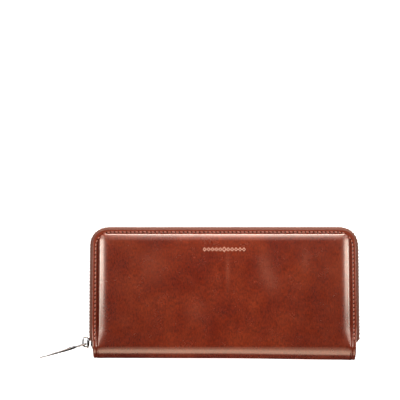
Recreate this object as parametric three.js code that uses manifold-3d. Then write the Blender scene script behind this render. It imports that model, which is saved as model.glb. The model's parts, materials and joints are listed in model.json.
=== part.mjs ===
// A long zip-around wallet, lying on its back cover with the zip closed.
// Millimetres. +Z is up, out of the front cover. +X runs along the wallet's length and +Y from the spine
// to the opening edge. The origin is on the back cover's outer face, midway along the wallet.
import * as THREE from 'three';
import { mergeVertices } from 'three/addons/utils/BufferGeometryUtils.js';
import Module from 'manifold-3d';

const wasm = await Module();
wasm.setup();

// ---- Driving dimensions ----
const thickness = 24;
const midZ = thickness / 2;
const coverHalfLength = 95.3;
const coverTopY = 46.1;
const coverCornerRadius = 12.5;
const spineDepth = 9;
const spineOuterY = -47.5;
const splitGap = 0.3;
const spineEndY = spineOuterY + spineDepth;
const coverBottomY = spineEndY + splitGap;

const leather = 1.2;
const gap = 0.1;
const borderWidth = 3.8;
const borderStep = 3;
const panelRounding = 2.4;
const paddingThickness = 1.7;
const boardThickness = 1.6;
const liningThickness = 0.5;
const liningInset = 1.6;

// Heights above the back cover's outer face, layer by layer.
const borderTopZ = borderStep + leather;
const boardZ = leather + paddingThickness + 2 * gap;
const tapeZ = borderTopZ + gap;
const tapeThickness = 0.5;
const liningZ = boardZ + boardThickness + 2 * gap;
const liningTopZ = liningZ + liningThickness;

// The main zip: distances outward from the covers' leather edge, and from its centre line.
const tapeFlange = 4.4;
const tapeBulge = 2.4;
const tapeWall = 0.6;
const tapeEdgeZ = midZ - 2.9;
const teethInner = 1.2;
const teethOuter = 2.95;
const teethNear = 0.9;
const teethFar = 2.7;
const teethEndY = -30.9;
const tapeEndY = -37.5;
const runningGap = 0.35;

const sliderY = -35.7;
const sliderHalfLength = 4;
const sliderHalfWidth = 4;
const sliderPlate = 0.8;
const pullRestAngle = THREE.MathUtils.degToRad(197.9);
const pullRoll = THREE.MathUtils.degToRad(8);

// The interior: staggered card pockets on both covers, and a zipped coin pocket between them.
const pocketCount = 4;
const pocketThickness = 0.4;
const pocketHalfLength = 88.6;
const pocketBottomY = -35;
const pocketFirstTopY = 5;
const pocketStepY = 8.5;
const coinHalfLength = 88.5;
const coinTopY = 26;
const coinHalfThickness = 2.75;
const coinWall = 0.6;
const coinZipScale = 0.62;
const coinSliderX = -78;
const gussetThickness = 0.35;
const gussetOuterX = 92.8;
const gussetInnerX = 76;
const gussetTopY = 20;

// ---- Materials ----
function material(color, roughness, metalness = 0) {
  return new THREE.MeshStandardMaterial({ color, roughness, metalness });
}
const outerLeather = material(0x7b2f1d, 0.35);
const liningLeather = material(0x8a4a30, 0.6);
const liningFabric = material(0x6d4a3a, 0.9);
const foam = material(0xd8cfc0, 0.95);
const board = material(0x9b8a72, 0.9);
const zipTape = material(0x5a3a2e, 0.9);
const zipMetal = material(0x6f5a4c, 0.45, 0.9);
const nickel = material(0xcfd0d2, 0.18, 1);

// ---- Scene helpers ----
const group = new THREE.Group();

function add(name, geometry, surface, parent = group) {
  const mesh = new THREE.Mesh(geometry, surface);
  mesh.name = name;
  parent.add(mesh);
  return mesh;
}

// The front cover is the back cover turned half round the wallet's long-edge axis at mid thickness.
const frontFrame = new THREE.Group();
frontFrame.rotation.y = Math.PI;
frontFrame.position.z = thickness;
group.add(frontFrame);

function addToBothCovers(name, makeGeometry, surface) {
  add(`back_${name}`, makeGeometry(), surface);
  add(`front_${name}`, makeGeometry(), surface, frontFrame);
}

// ---- Geometry helpers ----
function signedVolume(positions, index) {
  let volume = 0;
  for (let i = 0; i < index.length; i += 3) {
    const [a, b, c] = [0, 1, 2].map((k) => new THREE.Vector3().fromArray(positions, 3 * index[i + k]));
    volume += a.dot(b.cross(c)) / 6;
  }
  return volume;
}

// A closed geometry from corner points and triangles, turned inside out if its faces point inwards.
function closedGeometry(positions, index) {
  const outward = signedVolume(positions, index) > 0 ? index : [...index].reverse();
  const geometry = new THREE.BufferGeometry();
  geometry.setAttribute('position', new THREE.Float32BufferAttribute(positions, 3));
  geometry.setIndex(outward);
  geometry.computeVertexNormals();
  return geometry;
}

function toSolid(geometry) {
  const bare = geometry.clone();
  bare.deleteAttribute('normal');
  bare.deleteAttribute('uv');
  const merged = mergeVertices(bare, 1e-4);
  const vertProperties = new Float32Array(merged.attributes.position.array);
  const triVerts = new Uint32Array(merged.index.array);
  return new wasm.Manifold(new wasm.Mesh({ numProp: 3, vertProperties, triVerts }));
}

function fromSolid(solid) {
  const mesh = solid.getMesh();
  const geometry = new THREE.BufferGeometry();
  geometry.setAttribute('position', new THREE.BufferAttribute(new Float32Array(mesh.vertProperties), 3));
  geometry.setIndex(new THREE.BufferAttribute(new Uint32Array(mesh.triVerts), 1));
  geometry.computeVertexNormals();
  return geometry;
}

function join(...geometries) {
  return fromSolid(geometries.map(toSolid).reduce((sum, solid) => sum.add(solid)));
}

function cut(geometry, tool) {
  return fromSolid(toSolid(geometry).subtract(toSolid(tool)));
}

function common(geometry, tool) {
  return fromSolid(toSolid(geometry).intersect(toSolid(tool)));
}

function box(x0, x1, y0, y1, z0, z1) {
  const geometry = new THREE.BoxGeometry(x1 - x0, y1 - y0, z1 - z0);
  return geometry.translate((x0 + x1) / 2, (y0 + y1) / 2, (z0 + z1) / 2);
}

// A shape drawn in X and Y, raised from z0 to z1.
function slab(shape, z0, z1, curveSegments = 8) {
  const geometry = new THREE.ExtrudeGeometry(shape, { depth: z1 - z0, bevelEnabled: false, curveSegments });
  return geometry.translate(0, 0, z0);
}

// A shape drawn in Y and Z, run along X from x0 to x1.
function alongX(shape, x0, x1, curveSegments = 6) {
  const geometry = slab(shape, x0, x1, curveSegments);
  const [ex, ey, ez] = [new THREE.Vector3(1, 0, 0), new THREE.Vector3(0, 1, 0), new THREE.Vector3(0, 0, 1)];
  return geometry.applyMatrix4(new THREE.Matrix4().makeBasis(ey, ez, ex));
}

function polygon(points) {
  return new THREE.Shape(points.map(([x, y]) => new THREE.Vector2(x, y)));
}

// The cover's outline, drawn in from the leather edge: two round corners at the opening edge.
function coverShape(inset, bottomY = coverBottomY) {
  const halfLength = coverHalfLength - inset;
  const topY = coverTopY - inset;
  const radius = coverCornerRadius - inset;
  const shape = new THREE.Shape();
  shape.moveTo(-halfLength, bottomY);
  shape.lineTo(halfLength, bottomY);
  shape.absarc(halfLength - radius, topY - radius, radius, 0, Math.PI / 2, false);
  shape.absarc(-halfLength + radius, topY - radius, radius, Math.PI / 2, Math.PI, false);
  shape.closePath();
  return shape;
}

// Points round the leather edge with their outward directions, from endY up one side and down the other.
function edgeStations(endY, cornerSteps = 8) {
  const centreX = coverHalfLength - coverCornerRadius;
  const centreY = coverTopY - coverCornerRadius;
  const stations = [{ x: -coverHalfLength, y: endY, nx: -1, ny: 0 }];
  for (const side of [-1, 1]) {
    for (let i = 0; i <= cornerSteps; i += 1) {
      const turn = (Math.PI / 2) * (i / cornerSteps);
      const angle = side < 0 ? Math.PI - turn : Math.PI / 2 - turn;
      const [nx, ny] = [Math.cos(angle), Math.sin(angle)];
      stations.push({
        x: side * centreX + coverCornerRadius * nx,
        y: centreY + coverCornerRadius * ny,
        nx,
        ny,
      });
    }
  }
  stations.push({ x: coverHalfLength, y: endY, nx: 1, ny: 0 });
  return stations;
}

// Sweeps a section, drawn as [outward, z] points, along a row of stations.
function sweep(section, stations) {
  const positions = [];
  for (const { x, y, nx, ny } of stations) {
    for (const [outward, z] of section) {
      positions.push(x + nx * outward, y + ny * outward, z);
    }
  }
  const index = [];
  const count = section.length;
  for (let i = 0; i + 1 < stations.length; i += 1) {
    for (let k = 0; k < count; k += 1) {
      const [a, b] = [i * count + k, i * count + ((k + 1) % count)];
      index.push(a, b, b + count, a, b + count, a + count);
    }
  }
  const last = (stations.length - 1) * count;
  const contour = section.map(([outward, z]) => new THREE.Vector2(outward, z));
  for (const [a, b, c] of THREE.ShapeUtils.triangulateShape(contour, [])) {
    index.push(a, c, b, last + a, last + b, last + c);
  }
  return closedGeometry(positions, index);
}

// A round rod along a smooth path through the points.
function rod(points, radius, steps, sides = 8) {
  const section = new THREE.Shape().absarc(0, 0, radius, 0, 2 * Math.PI, false);
  return new THREE.ExtrudeGeometry(section, {
    steps,
    curveSegments: sides,
    bevelEnabled: false,
    extrudePath: new THREE.CatmullRomCurve3(points, false, 'centripetal'),
  });
}

// ---- Covers ----

// The leather skin of a cover: a flat stitched border round a raised panel that is hollow underneath.
function coverLeather() {
  const border = slab(coverShape(0), borderStep, borderTopZ);
  const overrun = 6;
  const raised = new THREE.ExtrudeGeometry(coverShape(borderWidth, coverBottomY - overrun), {
    depth: thickness,
    bevelThickness: panelRounding,
    bevelSize: panelRounding,
    bevelOffset: -panelRounding,
    bevelSegments: 4,
    curveSegments: 8,
  }).translate(0, 0, panelRounding);
  const keep = box(-coverHalfLength, coverHalfLength, coverBottomY, coverTopY, 0, borderTopZ);
  const hollow = slab(coverShape(borderWidth + leather, coverBottomY - overrun), leather, thickness);
  return cut(join(border, common(raised, keep)), hollow);
}

function addCovers() {
  const inside = borderWidth + leather + gap;
  const paddingTopZ = leather + gap + paddingThickness;
  addToBothCovers('leather', coverLeather, outerLeather);
  addToBothCovers('padding', () => slab(coverShape(inside), leather + gap, paddingTopZ), foam);
  addToBothCovers('board', () => slab(coverShape(inside + gap), boardZ, boardZ + boardThickness), board);
  addToBothCovers('lining', () => slab(coverShape(liningInset), liningZ, liningTopZ), liningFabric);
}

// ---- Spine ----
// The spine is half an ellipse, split along its middle so that the front cover can hinge there.
// Each cover carries its own half. The halves are drawn for the back cover, in Y and Z.

// A quarter band between two depths below the spine's outer surface.
function spineBand(outer, inner) {
  const lowZ = midZ - splitGap / 2;
  const shape = new THREE.Shape();
  shape.moveTo(spineEndY, outer);
  shape.lineTo(spineEndY, inner);
  shape.absellipse(spineEndY, lowZ, spineDepth - inner, lowZ - inner, 1.5 * Math.PI, Math.PI, true);
  shape.absellipse(spineEndY, lowZ, spineDepth - outer, lowZ - outer, Math.PI, 1.5 * Math.PI, false);
  return shape;
}

const tabInnerX = 92.6;
const tabOuterX = 95.2;
const tabEndY = -40.2;
const tabStepDown = 0.2;

// The folded leather that caps an end of the spine and hides the ends of the zip tape.
function endTabShape() {
  const lowZ = midZ - splitGap / 2;
  const [depth, height] = [spineDepth - tabStepDown, lowZ - tabStepDown];
  const end = 1.5 * Math.PI - Math.asin((spineEndY - tabEndY) / depth);
  const shape = new THREE.Shape();
  shape.moveTo(tabEndY, lowZ);
  shape.absellipse(spineEndY, lowZ, depth, height, Math.PI, end, false);
  shape.closePath();
  return shape;
}

function addSpine() {
  const halfLength = tabInnerX - splitGap;
  const paddingInner = liningZ - gap;
  const bands = [
    ['spine_leather', 0, leather, outerLeather],
    ['spine_padding', leather + gap, paddingInner, foam],
    ['spine_lining', liningZ, liningTopZ, liningFabric],
  ];
  for (const [name, outer, inner, surface] of bands) {
    addToBothCovers(name, () => alongX(spineBand(outer, inner), -halfLength, halfLength), surface);
  }
  // Turning the front cover's frame half round swaps left and right.
  const ends = [[-tabOuterX, -tabInnerX], [tabInnerX, tabOuterX]];
  for (const [i, side] of ['left', 'right'].entries()) {
    add(`back_${side}_end_tab`, alongX(endTabShape(), ...ends[i]), outerLeather);
    add(`front_${side}_end_tab`, alongX(endTabShape(), ...ends[1 - i]), outerLeather, frontFrame);
  }
}

// ---- Main zip ----
function tapeSection() {
  const inner = tapeBulge - tapeWall;
  const kneeZ = 7.2;
  return [
    [-tapeFlange, tapeZ],
    [0.1, tapeZ],
    [tapeBulge, kneeZ],
    [tapeBulge, tapeEdgeZ],
    [inner, tapeEdgeZ],
    [inner, kneeZ + 0.2],
    [-0.2, tapeZ + tapeThickness],
    [-tapeFlange, tapeZ + tapeThickness],
  ];
}

function teethSection() {
  const chamfer = 0.3;
  const [lowZ, highZ] = [midZ - teethFar, midZ - teethNear];
  return [
    [teethInner, lowZ],
    [teethOuter - chamfer, lowZ],
    [teethOuter, lowZ + chamfer],
    [teethOuter, highZ - chamfer],
    [teethOuter - chamfer, highZ],
    [teethInner, highZ],
  ];
}

function addMainZip() {
  addToBothCovers('zip_tape', () => sweep(tapeSection(), edgeStations(tapeEndY)), zipTape);
  addToBothCovers('zip_teeth', () => sweep(teethSection(), edgeStations(teethEndY)), zipMetal);
  // One crimped stop on each tape, below the last tooth at the right-hand end.
  const stopLength = 2.5;
  const [stopHighY, stopLowY] = [teethEndY - 0.3, teethEndY - 0.3 - stopLength];
  const [nearX, farX] = [coverHalfLength + teethInner, coverHalfLength + teethOuter];
  for (const [name, side] of [['back', -1], ['front', 1]]) {
    const [zA, zB] = [midZ + side * teethNear, midZ + side * teethFar];
    const stop = box(nearX, farX, stopLowY, stopHighY, Math.min(zA, zB), Math.max(zA, zB));
    add(`${name}_zip_stop`, stop, zipMetal);
  }
}

// ---- Zip sliders and pulls ----
// Both are drawn in a zip frame: x runs along the zip, y outwards from it and z across it.
const chainInner = teethInner - runningGap;
const chainOuter = teethOuter + runningGap;
const chainHalfWidth = teethFar + runningGap;
const plateTop = chainOuter + sliderPlate;
const pivotOut = plateTop + 1;
const bridgeRadius = 2.15;
const bridgeRod = 0.75;
const hookX = -0.6;
const eyeHalfWidth = 1.3;
const eyeLength = 4.1;
const eyeBar = 0.6;
// How far the pieces of one solid run into each other, so that they join.
const overlap = 0.2;

function plateShape(halfLength, halfWidth, nose) {
  return polygon([
    [-halfLength, -halfWidth + nose],
    [-halfLength + nose, -halfWidth],
    [halfLength - nose / 2, -halfWidth],
    [halfLength, -halfWidth + nose / 2],
    [halfLength, halfWidth - nose / 2],
    [halfLength - nose / 2, halfWidth],
    [-halfLength + nose, halfWidth],
    [-halfLength, halfWidth - nose],
  ]);
}

// A plate drawn along and across the zip, between two distances outward from the leather edge.
function zipPlate(shape, inner, outer) {
  return slab(shape, -outer, -inner).applyMatrix4(new THREE.Matrix4().makeRotationX(Math.PI / 2));
}

// The bail over the slider's outer plate: a straight bar that ends in a round hook about the pull's pivot.
function bridge(barLength, outwards) {
  const points = [new THREE.Vector3(barLength, plateTop - 0.4, 0)];
  points.push(new THREE.Vector3(barLength, outwards - 1.1, 0));
  points.push(new THREE.Vector3(barLength - 0.9, outwards - 0.1, 0));
  for (let angle = 90; angle <= 180; angle += 22.5) {
    const turn = THREE.MathUtils.degToRad(angle);
    points.push(new THREE.Vector3(
      hookX + bridgeRadius * Math.cos(turn),
      pivotOut + bridgeRadius * Math.sin(turn),
      0,
    ));
  }
  points.push(new THREE.Vector3(hookX - bridgeRadius, plateTop - 0.4, 0));
  return rod(points, bridgeRod, 22);
}

function sliderGeometry() {
  const outline = plateShape(sliderHalfLength, sliderHalfWidth, 1.6);
  const [webNear, webFar, webHalf] = [sliderHalfLength - 2.5, sliderHalfLength - 0.2, 0.55];
  const web = box(webNear, webFar, chainInner - overlap, chainOuter + overlap, -webHalf, webHalf);
  const parts = [
    zipPlate(outline, chainOuter, plateTop),
    zipPlate(outline, chainInner - 1, chainInner),
    web,
    bridge(3.3, pivotOut + bridgeRadius),
  ];
  const lipEnd = sliderHalfLength - 1.6;
  for (const [zA, zB] of [[-sliderHalfWidth, -chainHalfWidth], [chainHalfWidth, sliderHalfWidth]]) {
    parts.push(box(-lipEnd, lipEnd, tapeBulge + runningGap, chainOuter + overlap, zA, zB));
    parts.push(box(-lipEnd, lipEnd, chainInner - overlap, tapeBulge - tapeWall - runningGap, zA, zB));
  }
  return join(...parts);
}

// The pull: an eye round the bail, a slim neck and a long leaf-shaped blade with a raised face.
// It is drawn along +X from its pivot, with its flat faces towards +Y and -Y.
const pullLength = 35.2;
const bladeWideAt = 11.5;
const bladeHalfWidth = 4.6;
const pullPlate = 1.2;

function pullOutline() {
  const eyeOuter = eyeHalfWidth + 1.1;
  const outline = [
    [-eyeBar, -eyeOuter],
    [eyeLength - 0.4, -eyeOuter],
    [eyeLength + 1.2, -1.2],
    [eyeLength + 3.4, -1.2],
    [bladeWideAt, -bladeHalfWidth],
    [pullLength - 1, -0.9],
    [pullLength, -0.3],
  ];
  const mirrored = outline.map(([x, z]) => [x, -z]).reverse();
  const shape = polygon([...outline, ...mirrored]);
  shape.holes.push(polygon([
    [eyeBar, -eyeHalfWidth],
    [eyeBar, eyeHalfWidth],
    [eyeLength, eyeHalfWidth],
    [eyeLength, -eyeHalfWidth],
  ]));
  return shape;
}

// The raised face: a faceted ridge over the blade, highest where the blade is widest.
function bladeRidge() {
  const base = pullPlate / 2 - 0.1;
  const neckX = eyeLength + 3.4;
  const positions = [
    [neckX, base, -1], [neckX, base, 1],
    [bladeWideAt, base, -bladeHalfWidth + 0.3], [bladeWideAt, base, bladeHalfWidth - 0.3],
    [pullLength - 1.4, base, -0.8], [pullLength - 1.4, base, 0.8],
    [bladeWideAt, base + 1.7, 0], [pullLength - 2, base + 0.3, 0],
  ].flat();
  const index = [
    [0, 1, 3], [0, 3, 2], [2, 3, 5], [2, 5, 4],
    [0, 6, 1], [0, 2, 6], [1, 6, 3],
    [2, 4, 7], [2, 7, 6], [3, 6, 7], [3, 7, 5], [4, 5, 7],
  ].flat();
  return closedGeometry(positions, index);
}

function pullGeometry() {
  const plate = zipPlate(pullOutline(), -pullPlate / 2, pullPlate / 2);
  return join(plate, bladeRidge());
}

// The main slider sits low on the left side: its zip frame has x towards +Y and y towards -X.
function addMainSlider() {
  const frame = new THREE.Group();
  frame.position.set(-coverHalfLength, sliderY, midZ);
  frame.rotation.z = Math.PI / 2;
  group.add(frame);
  add('main_zip_slider', sliderGeometry(), nickel, frame);

  const pullFrame = new THREE.Group();
  pullFrame.position.set(-coverHalfLength - pivotOut, sliderY + hookX, midZ);
  pullFrame.rotation.z = pullRestAngle;
  group.add(pullFrame);
  const pull = add('main_zip_pull', pullGeometry(), nickel, pullFrame);
  pull.rotation.x = pullRoll;
}

// ---- Card pockets ----
function addCardPockets() {
  for (let i = 0; i < pocketCount; i += 1) {
    // Pocket 1 lies against the lining and stands tallest.
    const z0 = liningTopZ + gap + i * (pocketThickness + gap);
    const topY = pocketFirstTopY + (pocketCount - 1 - i) * pocketStepY;
    const makeSheet = () => box(
      -pocketHalfLength, pocketHalfLength, pocketBottomY, topY, z0, z0 + pocketThickness,
    );
    addToBothCovers(`card_pocket_${i + 1}`, makeSheet, liningLeather);
  }
}

// ---- Coin pocket ----
const coinBottomY = pocketBottomY;
const coinInner = coinHalfThickness - coinWall;

function addCoinPocket() {
  const [length, low, high] = [coinHalfLength, midZ - coinHalfThickness, midZ + coinHalfThickness];
  const [innerLow, innerHigh] = [low + coinWall + gap, high - coinWall - gap];
  const [floorTopY, sideY] = [coinBottomY + coinWall, coinBottomY + coinWall + gap];
  const walls = {
    back_wall: box(-length, length, coinBottomY, coinTopY, low, low + coinWall),
    front_wall: box(-length, length, coinBottomY, coinTopY, high - coinWall, high),
    bottom: box(-length, length, coinBottomY, floorTopY, innerLow, innerHigh),
    left_side: box(-length, -length + coinWall, sideY, coinTopY, innerLow, innerHigh),
    right_side: box(length - coinWall, length, sideY, coinTopY, innerLow, innerHigh),
  };
  for (const [name, geometry] of Object.entries(walls)) {
    add(`coin_pocket_${name}`, geometry, liningLeather);
  }
}

// The coin zip closes the pocket's mouth. Its tapes are sewn inside the two walls.
const coinTapeDepth = 8;
const coinTape = 0.4;
const coinTeethLowY = coinTopY + 1.3;
const coinTeethHighY = coinTeethLowY + 1.6;
const coinTeethNear = 0.6;
const coinTeethFar = 1.95;
const coinZipHalfLength = coinHalfLength - coinWall - 0.4;
const coinTeethHalfLength = coinZipHalfLength - 3;

function addCoinZip() {
  for (const [name, side] of [['back', -1], ['front', 1]]) {
    const across = (near, far) => [midZ + side * near, midZ + side * far].sort((a, b) => a - b);
    const [tapeA, tapeB] = across(coinInner - gap - coinTape, coinInner - gap);
    const [teethA, teethB] = across(coinTeethNear, coinTeethFar);
    const tape = box(
      -coinZipHalfLength, coinZipHalfLength, coinTopY - coinTapeDepth, coinTeethLowY - gap, tapeA, tapeB,
    );
    const teeth = box(
      -coinTeethHalfLength, coinTeethHalfLength, coinTeethLowY, coinTeethHighY, teethA, teethB,
    );
    add(`coin_zip_${name}_tape`, tape, zipTape);
    add(`coin_zip_${name}_teeth`, teeth, zipMetal);
  }
  for (const [name, side] of [['left', -1], ['right', 1]]) {
    const ends = [side * (coinTeethHalfLength + 0.3), side * (coinTeethHalfLength + 2.3)];
    const [xA, xB] = ends.sort((a, b) => a - b);
    const [zA, zB] = [midZ - coinTeethFar, midZ + coinTeethFar];
    const stop = box(xA, xB, coinTeethLowY, coinTeethHighY, zA, zB);
    add(`coin_zip_${name}_stop`, stop, zipMetal);
  }
}

const coinPlateY = coinTeethHighY + 0.3;
const coinPlate = 0.7;
const coinPivotY = coinPlateY + coinPlate + 0.65;
const coinRod = 0.42;
const coinBailRadius = 1.4;
const coinPullLength = 13.5;
const coinPullPlate = 0.7;

// The coin slider: an outer plate with side lips, a web between the tooth rows and an inner plate.
function coinSliderGeometry() {
  const halfLength = sliderHalfLength * coinZipScale;
  const lipInner = coinTeethFar + runningGap;
  const lipOuter = lipInner + 0.5;
  const [innerPlateLowY, innerPlateHighY] = [coinTopY + 0.2, coinTopY + 0.9];
  const parts = [
    box(-halfLength, halfLength, coinPlateY, coinPlateY + coinPlate, -lipOuter, lipOuter),
    box(-halfLength, halfLength, coinTeethLowY + 0.3, coinPlateY + overlap, -lipOuter, -lipInner),
    box(-halfLength, halfLength, coinTeethLowY + 0.3, coinPlateY + overlap, lipInner, lipOuter),
    box(halfLength - 1.6, halfLength, innerPlateLowY, coinPlateY + overlap, -0.3, 0.3),
    box(-halfLength, halfLength, innerPlateLowY, innerPlateHighY, -1.2, 1.2),
  ];
  const points = [];
  for (let angle = 0; angle <= 180; angle += 22.5) {
    const turn = THREE.MathUtils.degToRad(angle);
    points.push(new THREE.Vector3(
      coinBailRadius * Math.cos(turn),
      coinPivotY + coinBailRadius * Math.sin(turn),
      0,
    ));
  }
  const footY = coinPlateY + coinPlate - overlap;
  points.unshift(new THREE.Vector3(coinBailRadius, footY, 0));
  points.push(new THREE.Vector3(-coinBailRadius, footY, 0));
  return join(...parts, rod(points, coinRod, 18));
}

function coinPullGeometry() {
  const [bar, halfHole, hole] = [0.37, 0.8, 2.3];
  const outline = [
    [-bar, -1.5], [hole + 0.2, -1.5], [hole + 1, -0.8], [hole + 2, -0.8],
    [coinPullLength - 3, -2.2], [coinPullLength - 1, -1.9], [coinPullLength, -0.8],
  ];
  const mirrored = outline.map(([x, z]) => [x, -z]).reverse();
  const shape = polygon([...outline, ...mirrored]);
  shape.holes.push(polygon([[bar, -halfHole], [bar, halfHole], [hole, halfHole], [hole, -halfHole]]));
  return zipPlate(shape, -coinPullPlate / 2, coinPullPlate / 2);
}

function addCoinSlider() {
  const frame = new THREE.Group();
  frame.position.set(coinSliderX, 0, midZ);
  group.add(frame);
  add('coin_zip_slider', coinSliderGeometry(), nickel, frame);
  const pull = add('coin_zip_pull', coinPullGeometry(), nickel, frame);
  pull.position.y = coinPivotY;
}

// ---- Gussets ----

// A pleated side wall between two heights. Its pleat lies flat between the card pockets and the
// coin pocket, and is deep enough to let the covers open. lowZ and highZ are the pleat's own heights.
function gussetShape(z0, lowZ, highZ, z1) {
  const crease = (lowZ + highZ) / 2;
  const shoulderX = pocketHalfLength + 0.6;
  const half = gussetThickness / 2;
  return polygon([
    [gussetOuterX, z0],
    [gussetOuterX, z0 + gussetThickness],
    [shoulderX, lowZ + gussetThickness],
    [gussetInnerX + 2, crease],
    [shoulderX, highZ - gussetThickness],
    [gussetOuterX, z1 - gussetThickness],
    [gussetOuterX, z1],
    [shoulderX, highZ],
    [gussetInnerX, crease + half],
    [gussetInnerX, crease - half],
    [shoulderX, lowZ],
  ]);
}

// The gusset outline is drawn in X and Z, and runs along Y.
function gussetGeometry(shape, side) {
  const geometry = slab(shape, -gussetTopY, -pocketBottomY);
  geometry.applyMatrix4(new THREE.Matrix4().makeRotationX(Math.PI / 2));
  if (side > 0) {
    return geometry;
  }
  geometry.applyMatrix4(new THREE.Matrix4().makeRotationZ(Math.PI));
  return geometry.translate(0, gussetTopY + pocketBottomY, 0);
}

function addGussets() {
  const coverZ = liningTopZ + gap;
  const pleatLowZ = coverZ + pocketCount * (pocketThickness + gap) + gap;
  const coinZ = midZ - coinHalfThickness - gap;
  const backShape = () => gussetShape(coverZ, pleatLowZ, coinZ, coinZ);
  const mirrored = [coinZ, coinZ, pleatLowZ, coverZ].map((z) => thickness - z);
  const frontShape = () => gussetShape(...mirrored);
  for (const [name, side] of [['left', -1], ['right', 1]]) {
    add(`${name}_back_gusset`, gussetGeometry(backShape(), side), liningLeather);
    add(`${name}_front_gusset`, gussetGeometry(frontShape(), side), liningLeather);
  }
}

addCovers();
addSpine();
addMainZip();
addMainSlider();
addCardPockets();
addCoinPocket();
addCoinZip();
addCoinSlider();
addGussets();

export default group;
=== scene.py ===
"""A long zip-around wallet in polished leather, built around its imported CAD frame.

Lengths are in millimetres in this script, and make_piece turns them into metres. The wallet lies on its
back cover with +Z out of the front cover, +X along it and +Y from the spine to the opening edge.
"""
import json
import math
import bmesh
import bpy
import numpy as np
from mathutils import Matrix, Vector


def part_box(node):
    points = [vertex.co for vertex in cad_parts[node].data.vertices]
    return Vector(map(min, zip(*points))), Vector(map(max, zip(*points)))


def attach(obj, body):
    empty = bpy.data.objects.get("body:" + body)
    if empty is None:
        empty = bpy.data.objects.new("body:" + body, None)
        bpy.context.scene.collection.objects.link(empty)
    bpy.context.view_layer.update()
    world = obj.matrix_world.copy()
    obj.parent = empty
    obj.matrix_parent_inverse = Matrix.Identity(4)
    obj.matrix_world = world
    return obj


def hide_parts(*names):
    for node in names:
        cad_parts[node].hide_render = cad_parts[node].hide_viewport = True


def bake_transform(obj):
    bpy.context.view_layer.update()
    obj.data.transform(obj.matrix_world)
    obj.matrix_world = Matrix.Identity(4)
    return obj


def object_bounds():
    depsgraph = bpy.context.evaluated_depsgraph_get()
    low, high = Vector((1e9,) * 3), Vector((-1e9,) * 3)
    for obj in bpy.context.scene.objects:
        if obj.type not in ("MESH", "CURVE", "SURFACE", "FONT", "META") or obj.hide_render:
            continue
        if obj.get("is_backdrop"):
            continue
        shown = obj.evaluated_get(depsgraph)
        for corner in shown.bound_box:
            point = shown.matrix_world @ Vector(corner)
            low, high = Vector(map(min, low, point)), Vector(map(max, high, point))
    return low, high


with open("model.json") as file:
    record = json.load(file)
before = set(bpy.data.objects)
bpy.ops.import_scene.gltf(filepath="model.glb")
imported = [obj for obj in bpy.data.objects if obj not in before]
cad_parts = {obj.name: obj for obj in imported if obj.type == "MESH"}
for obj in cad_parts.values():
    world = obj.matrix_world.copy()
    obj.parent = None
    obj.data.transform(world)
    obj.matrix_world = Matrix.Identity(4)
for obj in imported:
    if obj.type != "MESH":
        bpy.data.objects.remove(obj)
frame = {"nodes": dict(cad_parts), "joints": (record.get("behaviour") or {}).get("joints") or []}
cad_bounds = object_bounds()

MM = 0.001


def box_mm(node):
    low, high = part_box(node)
    return low / MM, high / MM


# ---- Sizes from the frame ----
BACK_HIGH = box_mm("back_leather")[1]
HALF_LENGTH = BACK_HIGH.x
TOP_Y = BACK_HIGH.y
THICKNESS = box_mm("front_leather")[1].z
MID_Z = THICKNESS / 2
SPINE_Y = box_mm("back_spine_leather")[0].y
FOLD_Y = box_mm("back_spine_leather")[1].y
SPINE_DEPTH = FOLD_Y - SPINE_Y
TAPE_LOW, TAPE_HIGH = box_mm("back_zip_tape")
TEETH_LOW = box_mm("back_zip_teeth")[0]
LINING_LOW, LINING_HIGH = box_mm("back_lining")

# The straight part of the cover's opening edge ends where its corners begin to turn.
edge_x = [v.co.x / MM for v in frame["nodes"]["back_leather"].data.vertices if v.co.y / MM > TOP_Y - 0.01]
ANCHOR_X = max(edge_x)
CORNER = HALF_LENGTH - ANCHOR_X

LEATHER = 1.2
BORDER_DROP = BACK_HIGH.z - LEATHER
TAPE_FLANGE = 4.4
# The main zip's parts are drawn from the teeth's foot line, which stands this far outside the leather edge.
ZIP_STANDOFF = box_mm("back_zip_stop")[0].x - HALF_LENGTH - 0.3

# ---- Sizes of the sewing and the zip ----
STITCH_PITCH = 2.95
STITCH_INSET = 1.8
# The groove round the raised panel begins just inside the stitch line.
GROOVE_INSET = STITCH_INSET + 0.2
THREAD_RADIUS = 0.33
TOOTH_PITCH = 2.43
# Insets of the raised panel's foot, then the width of the shoulder above it: at the sides and at the top.
FOOT_SIDE = 4.1
FOOT_TOP = 2.8
SHOULDER_SIDE = 8.0
SHOULDER_TOP = 6.0


# ---- Mesh helpers ----
def smoothstep(low, high, value):
    t = np.clip((value - low) / (high - low), 0, 1)
    return t * t * (3 - 2 * t)


def mix(a, b, weight):
    return a + (b - a) * weight


def combine(parts):
    """One list of points and one of faces from several (points, faces) pairs."""
    points, faces = [], []
    for part_points, part_faces in parts:
        first = len(points)
        points.extend(tuple(p) for p in part_points)
        faces.extend(tuple(first + i for i in face) for face in part_faces)
    return points, faces


def loft(rings, capped=True):
    """A tube through closed rings of equally many points."""
    count = len(rings[0])
    points = [tuple(p) for ring in rings for p in ring]
    faces = []
    for k in range(len(rings) - 1):
        for i in range(count):
            j = (i + 1) % count
            faces.append((k * count + i, k * count + j, (k + 1) * count + j, (k + 1) * count + i))
    if capped:
        last = (len(rings) - 1) * count
        faces.append(tuple(reversed(range(count))))
        faces.append(tuple(range(last, last + count)))
    return points, faces


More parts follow.
